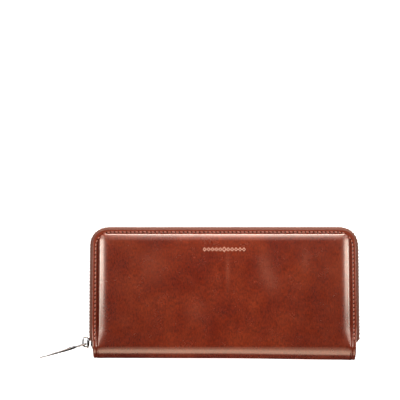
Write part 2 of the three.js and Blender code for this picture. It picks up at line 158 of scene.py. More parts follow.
def make_piece(name, shape, surface, smooth=True):
    """A mesh object from (points, faces), with the points in millimetres."""
    points, faces = shape
    mesh = bpy.data.meshes.new(name)
    mesh.from_pydata((np.asarray(points, float) * MM).tolist(), [], faces)
    work = bmesh.new()
    work.from_mesh(mesh)
    bmesh.ops.recalc_face_normals(work, faces=work.faces)
    work.to_mesh(mesh)
    work.free()
    mesh.polygons.foreach_set("use_smooth", [smooth] * len(mesh.polygons))
    mesh.materials.append(surface)
    piece = bpy.data.objects.new(name, mesh)
    bpy.context.scene.collection.objects.link(piece)
    return piece


def directions(path):
    """The direction of a path of Vectors at each of its points."""
    last = len(path) - 1
    return [(path[min(i + 1, last)] - path[max(i - 1, 0)]).normalized() for i in range(last + 1)]


def turn_steps(count):
    """Evenly spaced angles round a whole turn."""
    return [2 * math.pi * k / count for k in range(count)]


def tube_rings(path, side, thick, wide, sides=12):
    """Rings of a rod along a path in the plane square to side. wide is its radius along side."""
    rings = []
    for point, direction in zip(path, directions(path)):
        normal = direction.cross(side).normalized()
        rings.append([
            point + normal * (thick * math.cos(a)) + side * (wide * math.sin(a)) for a in turn_steps(sides)
        ])
    return rings


def both_sides(line, half):
    """The lines that lie half a thickness to the left and to the right of a flat line."""
    left, right = [], []
    for point, direction in zip(line, directions(line)):
        across = Vector((-direction.y, direction.x)) * half
        left.append(point + across)
        right.append(point - across)
    return left, right


def corner_turns(steps):
    """The angle and the signs of x and y at each point of a rounded rectangle's four corners."""
    for quadrant in range(4):
        sign_x = 1 if quadrant in (0, 3) else -1
        sign_y = 1 if quadrant in (0, 1) else -1
        for step in range(steps):
            yield math.pi / 2 * (quadrant + step / (steps - 1)), sign_x, sign_y


def point_attribute(piece, name, values):
    attribute = piece.data.attributes.new(name, "FLOAT", "POINT")
    attribute.data.foreach_set("value", np.asarray(values, np.float32))


def finish_piece(piece, slot, body, *replaced):
    """Gives a piece its body and hides the CAD nodes that it stands for; slot is not used."""
    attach(piece, body)
    if replaced:
        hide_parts(*replaced)
    return piece


def finish_fold(piece, slot, *replaced):
    """For a piece that wraps round the spine, from the back cover to the front cover: bakes its transform
    and hides the CAD nodes that it stands for; slot is not used.
    """
    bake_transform(piece)
    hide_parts(*replaced)
    return piece


# ---- Material helpers ----
class Shader:
    """A node material around one Principled shader, with the few node patterns that this scene uses."""

    def __init__(self, name):
        self.material = bpy.data.materials.new(name)
        self.material.use_nodes = True
        self.nodes = self.material.node_tree.nodes
        self.links = self.material.node_tree.links
        self.principled = self.nodes["Principled BSDF"]
        self.coordinates = self.nodes.new("ShaderNodeTexCoord").outputs["Object"]

    def set(self, **values):
        for name, value in values.items():
            self.principled.inputs[name.replace("_", " ")].default_value = value

    def link(self, output, name):
        self.links.new(output, self.principled.inputs[name])

    def math(self, operation, a, b=0.0, clamp=False):
        node = self.nodes.new("ShaderNodeMath")
        node.operation = operation
        node.use_clamp = clamp
        for socket, value in zip(node.inputs, (a, b)):
            if isinstance(value, (int, float)):
                socket.default_value = value
            else:
                self.links.new(value, socket)
        return node.outputs[0]

    def stretch(self, scale):
        """The object coordinates scaled, in features per millimetre on each axis."""
        node = self.nodes.new("ShaderNodeMapping")
        node.inputs["Scale"].default_value = [s / MM for s in scale]
        self.links.new(self.coordinates, node.inputs["Vector"])
        return node.outputs[0]

    def noise(self, scale, detail=3.0, roughness=0.55):
        """Noise with features of about 1 / scale millimetres. scale is one number or one per axis."""
        scales = scale if isinstance(scale, tuple) else (scale, scale, scale)
        node = self.nodes.new("ShaderNodeTexNoise")
        node.inputs["Scale"].default_value = 1.0
        node.inputs["Detail"].default_value = detail
        node.inputs["Roughness"].default_value = roughness
        self.links.new(self.stretch(scales), node.inputs["Vector"])
        return node.outputs["Fac"]

    def cells(self, scale, feature="DISTANCE_TO_EDGE"):
        node = self.nodes.new("ShaderNodeTexVoronoi")
        node.feature = feature
        node.inputs["Scale"].default_value = 1.0
        self.links.new(self.stretch((scale, scale, scale)), node.inputs["Vector"])
        return node.outputs["Distance"]

    def attribute(self, name):
        node = self.nodes.new("ShaderNodeAttribute")
        node.attribute_name = name
        return node.outputs["Fac"]

    def axis(self, letter):
        node = self.nodes.new("ShaderNodeSeparateXYZ")
        self.links.new(self.coordinates, node.inputs[0])
        return self.math("DIVIDE", node.outputs[letter], MM)

    def ramp(self, value, stops):
        """A colour or grey for each value, from (position, colour) stops."""
        node = self.nodes.new("ShaderNodeValToRGB")
        elements = node.color_ramp.elements
        while len(elements) < len(stops):
            elements.new(0.5)
        for element, (position, colour) in zip(elements, stops):
            element.position = position
            element.color = (colour,) * 3 + (1,) if isinstance(colour, (int, float)) else (*colour, 1)
        self.links.new(value, node.inputs["Fac"])
        return node.outputs["Color"]

    def paint(self, name, value, stops):
        """Drives an input of the Principled shader from a ramp."""
        self.link(self.ramp(value, stops), name)

    def blend(self, factor, a, b, mode="MIX"):
        node = self.nodes.new("ShaderNodeMix")
        node.data_type = "RGBA"
        node.blend_type = mode
        factor_socket, a_socket, b_socket = node.inputs[0], node.inputs[6], node.inputs[7]
        for socket, value in ((factor_socket, factor), (a_socket, a), (b_socket, b)):
            if isinstance(value, (int, float)):
                socket.default_value = value
            elif isinstance(value, tuple):
                socket.default_value = (*value, 1)
            else:
                self.links.new(value, socket)
        return node.outputs[2]

    def bump(self, height, depth, strength=1.0, under=None):
        """Bumps of a height from 0 to 1, depth millimetres deep."""
        node = self.nodes.new("ShaderNodeBump")
        node.inputs["Distance"].default_value = depth * MM
        node.inputs["Strength"].default_value = strength
        self.links.new(height, node.inputs["Height"])
        if under is not None:
            self.links.new(under, node.inputs["Normal"])
        return node.outputs["Normal"]


# ---- Materials ----
LEATHER_MAIN = (0.116, 0.0112, 0.0024)
LEATHER_LIGHT = (0.14, 0.0166, 0.004)
LEATHER_DARK = (0.094, 0.0075, 0.0017)
LEATHER_PAINTED_SHEEN = (0.27, 0.068, 0.034)
BORDER_DARK = (0.09, 0.011, 0.004)
BORDER_LIGHT = (0.17, 0.032, 0.015)
# Painted shade for the groove round the raised panel and for the rim along the opening edge.
GROOVE_SHADE = (0.045, 0.0045, 0.0015)
HOLE_TONE = (0.012, 0.003, 0.002)
TAPE_DARK = (0.045, 0.013, 0.007)
TAPE_LIGHT = (0.18, 0.067, 0.043)
# Painted sheen: pale streaks that stand in for soft light reflected in the hide's wrinkles. Each is x and y
# of the middle, half width and half length in millimetres, and strength.
PAINTED_SHEEN_MARKS = [(2.5, 16.0, 1.6, 13.0, 0.34), (29.0, 20.0, 5.0, 11.0, 0.4), (34.0, 8.0, 6.0, 9.0, 0.36),
              (58.0, 23.0, 3.0, 9.0, 0.22), (-52.0, 20.0, 9.0, 13.0, 0.22), (-20.0, -14.0, 9.0, 9.0, 0.2)]


def painted_sheen_mark(shader, x, y, half_width, half_length):
    """A soft upright streak of painted sheen on the leather, strongest in its middle."""
    across = shader.math("DIVIDE", shader.math("SUBTRACT", shader.axis("X"), x), half_width)
    along = shader.math("DIVIDE", shader.math("SUBTRACT", shader.axis("Y"), y), half_length)
    away = shader.math("ADD", shader.math("POWER", across, 2), shader.math("POWER", along, 2))
    return shader.math("POWER", math.e, shader.math("MULTIPLY", away, -1))


def polished_leather():
    """Smooth reddish brown hide: cloudy tones, grain, pale streaks of painted sheen, a border of its own
    tone, painted shade in the groove, on the border and towards the ends, needle holes.
    """
    shader = Shader("polished_leather")
    edge = shader.attribute("edge")
    run = shader.attribute("run")
    groove = shader.attribute("groove")
    border = shader.attribute("border")
    clouds = shader.noise((0.04, 0.035, 0.04), detail=3, roughness=0.5)
    colour = shader.ramp(clouds, [(0.36, LEATHER_DARK), (0.5, LEATHER_MAIN), (0.66, LEATHER_LIGHT)])
    mottle = shader.noise((0.42, 0.3, 0.4), detail=4, roughness=0.6)
    grain = shader.noise((1.0, 0.45, 0.8), detail=3, roughness=0.7)
    # Painted shade: the colour darkens towards both ends of the cover.
    from_middle = shader.math("DIVIDE", shader.math("ABSOLUTE", shader.axis("X")), HALF_LENGTH)
    for value, stops in (
        (mottle, [(0.36, 0.94), (0.64, 1.06)]),
        (grain, [(0.36, 0.68), (0.64, 1.32)]),
        (from_middle, [(0.25, 1.05), (0.75, 0.9)]),
    ):
        colour = shader.blend(1.0, colour, shader.ramp(value, stops), "MULTIPLY")
    # Painted sheen: the pale streaks, broken up in patches.
    patchiness = shader.ramp(shader.noise((0.9, 0.3, 0.5), detail=4, roughness=0.6), [(0.3, 0.35), (0.7, 1.0)])
    marks = 0.0
    for x, y, half_width, half_length, strength in PAINTED_SHEEN_MARKS:
        mark = shader.math("MULTIPLY", painted_sheen_mark(shader, x, y, half_width, half_length), strength)
        marks = shader.math("ADD", mark, marks)
    colour = shader.blend(shader.math("MULTIPLY", marks, patchiness, clamp=True), colour, LEATHER_PAINTED_SHEEN)
    border_tone = shader.blend(shader.noise(0.6, detail=4), BORDER_DARK, BORDER_LIGHT)
    # The groove takes its painted shade here, and the border takes its own tone.
    for area, tone in ((border, border_tone), (groove, GROOVE_SHADE)):
        colour = shader.blend(shader.math("MULTIPLY", area, 0.85), colour, tone)
    # A needle hole at each whole stitch, on the stitch line.
    along = shader.math("MULTIPLY", shader.math("PINGPONG", run, STITCH_PITCH / 2), 0.6)
    across = shader.math("ABSOLUTE", shader.math("SUBTRACT", edge, STITCH_INSET))
    squares = [shader.math("POWER", distance, 2) for distance in (along, across)]
    away = shader.math("SQRT", shader.math("ADD", *squares))
    hole = shader.math("MULTIPLY", shader.ramp(away, [(0.3, 1.0), (0.7, 0.0)]), border)
    shader.link(shader.blend(hole, colour, HOLE_TONE), "Base Color")
    # Painted shade: the reflection is dulled in the groove, on the stitched border and where the shoulder
    # runs out into the fold, to darken them.
    groove_reflection_shade = shader.math("MULTIPLY", groove, 0.9)
    border_reflection_shade = shader.math("MULTIPLY", border, 0.7)
    reflection_shade = shader.math("ADD", groove_reflection_shade, border_reflection_shade, clamp=True)
    shader.link(shader.blend(reflection_shade, (1, 0.84, 0.71), (0.08, 0.03, 0.02)), "Specular Tint")
    gloss = shader.ramp(shader.noise(0.09, detail=5, roughness=0.65), [(0.25, 0.22), (0.8, 0.3)])
    shader.link(shader.math("ADD", gloss, shader.math("MULTIPLY", marks, 0.05)), "Roughness")
    pores = shader.bump(shader.cells(2.6), 0.02, 0.1)
    creases = shader.bump(shader.noise((0.9, 0.5, 0.7), detail=3, roughness=0.5), 0.04, 0.22, pores)
    shader.link(creases, "Normal")
    shader.set(Coat_Weight=0.05, Coat_Roughness=0.1, Specular_IOR_Level=1.0)
    return shader.material


def thread():
    """Waxed thread with a twist."""
    shader = Shader("thread")
    fibres = shader.noise(3.0, detail=2)
    shader.paint("Base Color", fibres, [(0.3, (0.24, 0.06, 0.032)), (0.7, (0.46, 0.16, 0.095))])
    twist = shader.noise((6.0, 6.0, 1.5), detail=1)
    shader.link(shader.bump(twist, 0.1, 0.7), "Normal")
    shader.set(Roughness=0.4, Sheen_Weight=0.1, Sheen_Roughness=0.4)
    return shader.material


def woven_tape():
    """Ribbed polyester zip tape: ribs along the zip and fine threads across them."""
    shader = Shader("woven_tape")
    run = shader.attribute("run")
    edge = shader.attribute("edge")
    half_rib, half_thread = 0.3, 0.22
    ribs = shader.math("DIVIDE", shader.math("PINGPONG", edge, half_rib), half_rib)
    ribs = shader.ramp(ribs, [(0.1, 0.0), (0.6, 1.0)])
    weft = shader.math("DIVIDE", shader.math("PINGPONG", run, half_thread), half_thread)
    weft = shader.ramp(weft, [(0.1, 0.0), (0.8, 1.0)])
    height = shader.math("ADD", shader.math("MULTIPLY", ribs, 0.6), shader.math("MULTIPLY", weft, 0.4))
    fuzz = shader.noise(2.2, detail=4)
    tone = shader.ramp(height, [(0.1, TAPE_DARK), (0.85, TAPE_LIGHT)])
    tone = shader.blend(shader.math("MULTIPLY", fuzz, 0.5), tone, TAPE_DARK)
    shader.link(tone, "Base Color")
    shader.link(shader.bump(height, 0.12, 0.9), "Normal")
    shader.set(Roughness=0.8, Specular_IOR_Level=0.12, Sheen_Weight=0.05, Sheen_Roughness=0.45)
    return shader.material


def antique_metal():
    """Zip teeth: darkened brass in blotchy tones, from dark to bright."""
    shader = Shader("antique_metal")
    stain = shader.noise(0.8, detail=4, roughness=0.6)
    shader.paint("Base Color", stain, [(0.3, (0.2, 0.13, 0.09)), (0.7, (0.46, 0.33, 0.24))])
    shader.paint("Roughness", shader.noise(2.5, detail=3), [(0.3, 0.26), (0.75, 0.5)])
    shader.link(shader.bump(shader.noise(5.0, detail=2), 0.02, 0.4), "Normal")
    shader.set(Metallic=1.0)
    return shader.material


def nickel():
    """Polished nickel with faint handling haze and hairline scratches."""
    shader = Shader("nickel")
    haze = shader.noise(0.35, detail=4, roughness=0.6)
    shader.paint("Base Color", haze, [(0.3, (0.36, 0.36, 0.37)), (0.7, (0.48, 0.48, 0.48))])
    shader.paint("Roughness", haze, [(0.35, 0.07), (0.8, 0.17)])
    scratches = shader.noise((9.0, 0.6, 9.0), detail=2)
    shader.link(shader.bump(scratches, 0.008, 0.3), "Normal")
    shader.set(Metallic=1.0)
    return shader.material


def foil():
    """Pale stamped foil, rubbed through in places."""
    shader = Shader("foil")
    patchiness = shader.noise(1.6, detail=5, roughness=0.7)
    shader.paint("Base Color", patchiness, [(0.34, (0.36, 0.12, 0.07)), (0.5, (0.72, 0.36, 0.25))])
    shader.paint("Roughness", patchiness, [(0.3, 0.55), (0.6, 0.3)])
    shader.link(shader.bump(patchiness, 0.01, 0.4), "Normal")
    shader.set(Metallic=0.25)
    return shader.material


def lining_leather():
    """Thin matt leather with a visible grain."""
    shader = Shader("lining_leather")
    tone = shader.noise(0.07, detail=5, roughness=0.6)
    colour = shader.ramp(tone, [(0.3, (0.13, 0.048, 0.026)), (0.7, (0.235, 0.095, 0.052))])
    grain = shader.cells(1.5)
    shade = shader.ramp(grain, [(0.0, 0.72), (0.25, 1.0)])
    shader.link(shader.blend(0.9, colour, shade, "MULTIPLY"), "Base Color")
    shader.paint("Roughness", shader.noise(0.4, detail=3), [(0.3, 0.42), (0.8, 0.6)])
    shader.link(shader.bump(shader.ramp(grain, [(0.0, 0.0), (0.3, 1.0)]), 0.06, 0.5), "Normal")
    return shader.material


def woven(name, dark, light, pitch):
    """Plain weave cloth with its threads along X and Y."""
    shader = Shader(name)
    warp = shader.math("PINGPONG", shader.axis("X"), pitch / 2)
    weft = shader.math("PINGPONG", shader.math("ADD", shader.axis("Y"), shader.axis("Z")), pitch / 2)
    height = shader.math("MULTIPLY", shader.math("MULTIPLY", warp, weft), 4 / pitch ** 2, clamp=True)
    fuzz = shader.noise(1.1, detail=4)
    tone = shader.ramp(height, [(0.05, dark), (0.6, light)])
    shader.link(shader.blend(shader.math("MULTIPLY", fuzz, 0.4), tone, dark), "Base Color")
    shader.link(shader.bump(height, 0.15, 0.7), "Normal")
    shader.set(Roughness=0.88, Sheen_Weight=0.3)
    return shader.material


def foam():
    """Open-cell foam."""
    shader = Shader("foam")
    pores = shader.cells(2.2, "F1")
    shader.paint("Base Color", pores, [(0.1, (0.42, 0.36, 0.28)), (0.5, (0.72, 0.66, 0.56))])
    shader.link(shader.bump(pores, 0.2, 0.8), "Normal")
    shader.set(Roughness=0.95)
    return shader.material


def pressed_board():
    """Grey-brown pressed board with fibres."""
    shader = Shader("pressed_board")
    fibres = shader.noise((0.25, 2.5, 2.5), detail=6, roughness=0.7)
    shader.paint("Base Color", fibres, [(0.3, (0.2, 0.15, 0.1)), (0.7, (0.34, 0.27, 0.19))])
    shader.link(shader.bump(fibres, 0.06, 0.6), "Normal")
    shader.set(Roughness=0.9)
    return shader.material


LEATHER_SURFACE = polished_leather()
THREAD_SURFACE = thread()
TAPE_SURFACE = woven_tape()
METAL_SURFACE = antique_metal()
NICKEL_SURFACE = nickel()
FOIL_SURFACE = foil()
LINING_LEATHER_SURFACE = lining_leather()
LINING_SURFACE = woven("lining_cloth", (0.05, 0.026, 0.016), (0.15, 0.085, 0.055), 0.55)
FOAM_SURFACE = foam()
BOARD_SURFACE = pressed_board()

# ---- The wrap: how flat leather goes round the spine ----
turns = np.linspace(0, math.pi, 721)
arc_y = FOLD_Y - SPINE_DEPTH * np.sin(turns)
arc_z = MID_Z + MID_Z * np.cos(turns)
arc_run = np.concatenate([[0], np.cumsum(np.hypot(np.diff(arc_y), np.diff(arc_z)))])
HALF_SPINE = arc_run[-1] / 2
HALF_RUN = HALF_SPINE + TOP_Y - FOLD_Y
ANCHOR_U = HALF_RUN - CORNER

# The fold stands this much further out at the right end, and about as much further in on the left half.
SPINE_SKEW = 0.75


def spine_fall(x):
    """From -1 to 1: nearly level on the left half, then rising to 1 at the right end."""
    along = x / HALF_LENGTH
    return along + np.sqrt(along ** 2 + 0.05) - 1


def wrap(x, u, depth):
    """The y and z of a point on the wrapped skin.

    u is the distance round the wallet from the middle of the spine, positive towards the front cover,
    and depth is how far the point lies below the outer surface.
    """
    turn = np.interp(HALF_SPINE - u, arc_run, turns)
    normal_y = -np.sin(turn) / SPINE_DEPTH
    normal_z = np.cos(turn) / MID_Z
    length = np.hypot(normal_y, normal_z)
    flat = np.maximum(np.abs(u) - HALF_SPINE, 0)
    y = FOLD_Y + flat - SPINE_DEPTH * np.sin(turn) - normal_y / length * depth
    y = y - SPINE_SKEW * spine_fall(x) * np.sin(turn)
    z = MID_Z + MID_Z * np.cos(turn) - normal_z / length * depth
    return y, z


class Outline:
    """Stations round the unrolled skin, a rounded rectangle of x along the wallet and u round it.

    Each station has an anchor on the inner rectangle, where the corners' centres are, and a direction
    outwards. The stations are half a step apart, so that whole steps fall on the even ones.
    """

    def __init__(self, step):
        self.side = 2 * round(2 * ANCHOR_U / step)
        self.top = 2 * round(2 * ANCHOR_X / step)
        self.corner = 2 * max(1, round((CORNER - STITCH_INSET) * math.pi / 2 / step))
        self.half_step = step / 2
        x, u, angle, cell = [], [], [], []
        columns, rows = self.top, self.side
        corners = [((-1, 1), 180), ((1, 1), 90), ((1, -1), 0), ((-1, -1), -90)]
        sides = [(rows, (-1, -1), (-1, 1)), (columns, (-1, 1), (1, 1)),
                 (rows, (1, 1), (1, -1)), (columns, (1, -1), (-1, -1))]
        for (count, start, end), (centre, first_angle) in zip(sides, corners):
            for i in range(count):
                t = i / count
                x.append(mix(start[0], end[0], t) * ANCHOR_X)
                u.append(mix(start[1], end[1], t) * ANCHOR_U)
                angle.append(first_angle)
                cell.append(self.cell(x[-1], u[-1]))
            for i in range(self.corner):
                x.append(centre[0] * ANCHOR_X)
                u.append(centre[1] * ANCHOR_U)
                angle.append(first_angle - 90 * i / self.corner)
                cell.append(self.cell(x[-1], u[-1]))
        self.x, self.u, self.cells = np.array(x), np.array(u), cell
        self.nx = np.cos(np.radians(angle))
        self.nu = np.sin(np.radians(angle))
        self.count = len(x)
        row_u = np.linspace(-ANCHOR_U, ANCHOR_U, rows + 1)
        column_x = np.linspace(-ANCHOR_X, ANCHOR_X, columns + 1)
        grid_u, grid_x = np.meshgrid(row_u, column_x, indexing="ij")
        self.grid_x, self.grid_u = grid_x.ravel(), grid_u.ravel()

    def cell(self, x, u):
        """The index of the grid point at an anchor."""
        column = round((x + ANCHOR_X) / (2 * ANCHOR_X) * self.top)
        row = round((u + ANCHOR_U) / (2 * ANCHOR_U) * self.side)
        return row * (self.top + 1) + column

    def ring(self, inset):
        """x and u of the stations at an inset from the leather edge."""
        return self.x + self.nx * (CORNER - inset), self.u + self.nu * (CORNER - inset)

    def surface(self, insets, depths, grid_depth):
        """Points of one side of a sheet: rings at insets from the leather edge, then the inner grid."""
        rows = [(*self.ring(inset), depth) for inset, depth in zip(insets, depths)]
        rows.append((self.grid_x, self.grid_u, grid_depth))
        return np.concatenate([np.stack([x, *wrap(x, u, depth)], 1) for x, u, depth in rows])

    def faces(self, ring_count, first):
        """Faces of one side of a sheet whose points begin at first."""
        faces = []
        rings = [first + k * self.count for k in range(ring_count)]
        grid = first + ring_count * self.count
        following = [(i + 1) % self.count for i in range(self.count)]
        for a, b in zip(rings, rings[1:]):
            faces.extend((a + i, a + j, b + j, b + i) for i, j in enumerate(following))
        for i, j in enumerate(following):
            corners = (rings[-1] + i, rings[-1] + j, grid + self.cells[j], grid + self.cells[i])
            faces.append(tuple(dict.fromkeys(corners)))
        width = self.top + 1
        for row in range(self.side):
            for column in range(self.top):
                a = grid + row * width + column
                faces.append((a, a + 1, a + width + 1, a + width))
        return faces

    def closed_sheet(self, outer, inner, ring_count):
        """A closed sheet from the points of its two sides, joined round the rim."""
        faces = self.faces(ring_count, 0) + self.faces(ring_count, len(outer))
        for i in range(self.count):
            j = (i + 1) % self.count
            faces.append((i, j, len(outer) + j, len(outer) + i))
        return np.concatenate([outer, inner]), faces


# ---- Outer leather ----
# Insets and depths across the stitched border: on the covers, and on the spine where it lies almost flush.
# The last inset is the foot of the raised panel on the long sides.
BORDER_PROFILE = [
    (0.00, 3.42, 0.70), (0.06, 3.18, 0.46), (0.22, 3.05, 0.32), (0.50, 2.99, 0.24), (0.90, 2.96, 0.20),
    (1.25, 2.98, 0.20), (1.55, 3.05, 0.21), (1.85, 3.11, 0.25), (2.05, 3.08, 0.42), (2.25, 3.01, 0.40),
    (2.60, 2.97, 0.17), (3.00, 2.99, 0.12), (3.40, 3.07, 0.10), (3.80, 3.17, 0.07), (4.10, 3.26, 0.05),
]
SHOULDER_STEPS = 12
FLAT_STEPS = 3
FLUSH_FROM = -6.0
FLUSH_TO = 15.0
CORNER_SQUARENESS = 5.2
RIM_SQUARENESS = 2.4
RIGHT_GROOVE_LIGHTER = 0.6
SPINE_END_INSET = 0.6
SIDE_OVERHANG = 0.35
# How far the padded face sags near its ends, near the opening edge, and everywhere.
END_SAG = 0.22
EDGE_SAG = 0.16
LEAST_SAG = 0.06
# The border's dip at a stitch hole, and its rise under the thread.
HOLE_DIP = 0.13
THREAD_RISE = 0.03


def crown(x, u):
    """How far the padded face falls away from its highest part, with the slight waves of real padding."""
    reach = np.maximum(np.abs(u) - HALF_SPINE, 0) / (TOP_Y - FOLD_Y)
    fall = END_SAG * np.abs(x / HALF_LENGTH) ** 4 + EDGE_SAG * reach ** 4
    waves = 0.035 * np.sin(x / 13.0 + 0.6 * np.sin(u / 17.0)) * np.sin(u / 11.0 + 1.3)
    waves = waves + 0.025 * np.sin(x / 29.0 - u / 23.0)
    return fall + LEAST_SAG + waves


def reach_inset(outline, inset_side, inset_top, squareness):
    """Insets of a ring that lies at one inset along the sides and another along the opening edge.

    Its corners are arcs of a superellipse, so a larger squareness makes the raised panel's corners tighter.
    """
    side = np.abs(outline.nx) / (CORNER - inset_side)
    top = np.abs(outline.nu) / (CORNER - inset_top)
    return CORNER - (side ** squareness + top ** squareness) ** (-1 / squareness)


def skin_rings(outline):
    """Insets, depths and shades of the outer surface's rings, outermost first.

    A ring's shades are its painted shade in the groove and at the opening edge's rim, with the dark seam
    line on the spine, and how much it belongs to the stitched border, from 0 to 1. Also gives how far each
    station is on the spine, from 0 to 1.
    """
    on_side = outline.nx ** 2 > 0.99
    spine = 1 - smoothstep(FLUSH_FROM, FLUSH_TO, np.abs(outline.u) - HALF_SPINE)
    spine = np.where(on_side, spine, 0)
    even = np.arange(outline.count) % 2 == 0
    pucker = np.where(even, HOLE_DIP, -THREAD_RISE) * (1 - spine)
    insets, depths, groove_shades, borders = [], [], [], []
    # Painted shade in the groove: darkest on the sides, and darker on the left side than on the right.
    groove_shade_weight = (0.25 + 0.75 * outline.nx ** 2) * (1 - RIGHT_GROOVE_LIGHTER * np.maximum(outline.nx, 0))
    for inset, border, flush in BORDER_PROFILE:
        beyond = max(inset - GROOVE_INSET, 0)
        inset_top = inset - beyond * (FOOT_SIDE - FOOT_TOP) / (FOOT_SIDE - GROOVE_INSET)
        square = 2 + (CORNER_SQUARENESS - 2) * smoothstep(STITCH_INSET, FOOT_SIDE, inset)
        square += (RIM_SQUARENESS - 2) * (1 - smoothstep(0, STITCH_INSET, inset))
        near_stitch = math.exp(-((inset - STITCH_INSET) / 0.3) ** 2)
        overhang = SIDE_OVERHANG * (1 - spine) * outline.nx ** 2 * max(0, 1 - inset / 1.5)
        insets.append(reach_inset(outline, inset, inset_top, square) + SPINE_END_INSET * spine - overhang)
        depths.append(mix(border, flush, spine) + pucker * near_stitch)
        foot_shade = smoothstep(GROOVE_INSET, FOOT_SIDE - 0.7, inset) * groove_shade_weight
        seam_shade = 0.8 * math.exp(-((inset - 2.15) / 0.15) ** 2)
        # Painted shade on the leather's rim along the opening edge.
        rim_shade = math.exp(-(inset / 0.5) ** 2) * outline.nu ** 2
        groove_shades.append(mix(np.maximum(foot_shade, rim_shade), seam_shade, spine))
        borders.append(1 - spine)
    # On the spine the shoulder is only a soft fall towards the ends.
    rises = [(1 - math.cos(phi), math.sin(phi)) for phi in np.radians(np.linspace(8, 90, SHOULDER_STEPS))]
    for away, height in rises:
        inset_side, inset_top = FOOT_SIDE + SHOULDER_SIDE * away, FOOT_TOP + SHOULDER_TOP * away
        inset = reach_inset(outline, inset_side, inset_top, CORNER_SQUARENESS)
        insets.append(inset)
        # Painted shade at the foot of the shoulder, fading as it rises.
        groove_shades.append((1 - smoothstep(0.1, 0.5, height)) * groove_shade_weight * (1 - spine))
        # Painted shade where the shoulder runs out into the fold: the border's tone and dulled reflection
        # take out the highlight there.
        runs_out = smoothstep(0, 0.3, spine) * (1 - smoothstep(0.6, 1, spine)) * (1 - height ** 6)
        borders.append(np.maximum((1 - smoothstep(0.1, 0.35, height)) * (1 - spine), 0.9 * runs_out))
        fall = BORDER_DROP * 1.04 * (1 - height)
        sag = crown(*outline.ring(inset)) * height ** 2
        depths.append(mix(fall, 0.05 * (1 - height), spine) + sag)
    panel_inset = insets[-1]
    for step in range(1, FLAT_STEPS + 1):
        inset = mix(panel_inset, CORNER, step / (FLAT_STEPS + 1))
        insets.append(inset)
        depths.append(crown(*outline.ring(inset)))
        groove_shades.append(np.zeros(outline.count))
        borders.append(np.zeros(outline.count))
    return insets, depths, groove_shades, borders, spine


def make_outer_leather():
    """The one piece of hide that covers the front, the spine and the back."""
    outline = Outline(STITCH_PITCH)
    insets, depths, groove_shades, borders, spine = skin_rings(outline)
    outer = outline.surface(insets, depths, crown(outline.grid_x, outline.grid_u))
    # The flesh side follows the outer side one leather thickness below, without the fine creases.
    under_insets, under_depths = [], []
    for k, (inset, depth) in enumerate(zip(insets, depths)):
        foot = float(k >= len(BORDER_PROFILE) - 2) * (1 - spine)
        under_insets.append(inset + LEATHER * foot * np.clip(depth / BORDER_DROP, 0, 1))
        level = mix(BORDER_DROP, 0.25, spine) if k < len(BORDER_PROFILE) else depth
        rounding = 0.3 * math.exp(-k / 1.2)
        under_depths.append(level + LEATHER - rounding)
    inner = outline.surface(under_insets, under_depths, crown(outline.grid_x, outline.grid_u) + LEATHER)
    shape = outline.closed_sheet(outer, inner, len(insets))
    piece = make_piece("outer_leather", shape, LEATHER_SURFACE)
    edge = np.concatenate(insets + [np.full(len(outline.grid_x), CORNER)])
    steps = np.arange(outline.count) * outline.half_step
    run = np.concatenate([steps] * len(insets) + [np.zeros(len(outline.grid_x))])
    point_attribute(piece, "edge", np.tile(edge, 2))
    point_attribute(piece, "run", np.tile(run, 2))
    for name, shades in (("groove", groove_shades), ("border", borders)):
        shade = np.concatenate(shades + [np.zeros(len(outline.grid_x))])
        point_attribute(piece, name, np.tile(shade, 2))
    nodes = ["back_leather", "front_leather", "back_spine_leather", "front_spine_leather"]
    return finish_fold(piece, "outer_leather", *nodes)


# ---- Stitches ----
def capsule(start, end, up, radius, lift, sides=8):
    """A thread from one needle hole to the next, arched over the leather."""
    start, end, up = Vector(start), Vector(end), Vector(up)
    along = (end - start).normalized()
    side = up.cross(along).normalized()
    rings = []
    for t, size, height in [(0.0, 0.25, -0.5), (0.04, 0.75, 0.0), (0.16, 1.0, 0.7), (0.5, 1.08, 1.0),
                            (0.84, 1.0, 0.7), (0.96, 0.75, 0.0), (1.0, 0.25, -0.5)]:
        centre = start.lerp(end, t) + up * (lift * height)
        rings.append([
            centre + (side * math.cos(angle) + up * (0.85 * math.sin(angle))) * radius * size
            for angle in turn_steps(sides)
        ])
    return loft(rings)


# The row of stitches begins this far from the fold.
STITCHES_FROM = 3.0
# A thread leaves its hole this share of a stitch from the stitch's end, and stands this high.
HOLE_SHARE = 0.17
THREAD_LIFT = 0.2


def make_cover_stitches(cover, sign):
    """The row of stitches round one cover's border."""
    outline = Outline(STITCH_PITCH)
    slant = 0.13
    parts = []
    for i in range(0, outline.count, 2):
        j = (i + 2) % outline.count
        flat_run = min(sign * outline.u[i], sign * outline.u[j]) - HALF_SPINE
        if flat_run < STITCHES_FROM:
            continue
        ends = []
        for t, shift in ((HOLE_SHARE, slant), (1 - HOLE_SHARE, -slant)):
            stations = (outline.x, outline.u, outline.nx, outline.nu)
            x, u, nx, nu = (mix(values[i], values[j], t) for values in stations)
            run_in = sign * u - HALF_SPINE if abs(nx) > 0.99 else FLUSH_TO
            depth = mix(BORDER_DROP + 0.02, 0.35, 1 - smoothstep(FLUSH_FROM, FLUSH_TO, run_in))
            reach = CORNER - STITCH_INSET + shift
            x, u = x + nx * reach, u + nu * reach
            y, z = wrap(x, u, depth)
            ends.append((x, float(y), float(z)))
        parts.append(capsule(*ends, (0, 0, sign), THREAD_RADIUS, THREAD_LIFT))
    piece = make_piece(f"{cover}_stitches", combine(parts), THREAD_SURFACE)
    return finish_piece(piece, "outer_leather", f"{cover}_cover")


# ---- Lining, padding and end tabs ----
SHEET_STEP = 6.0


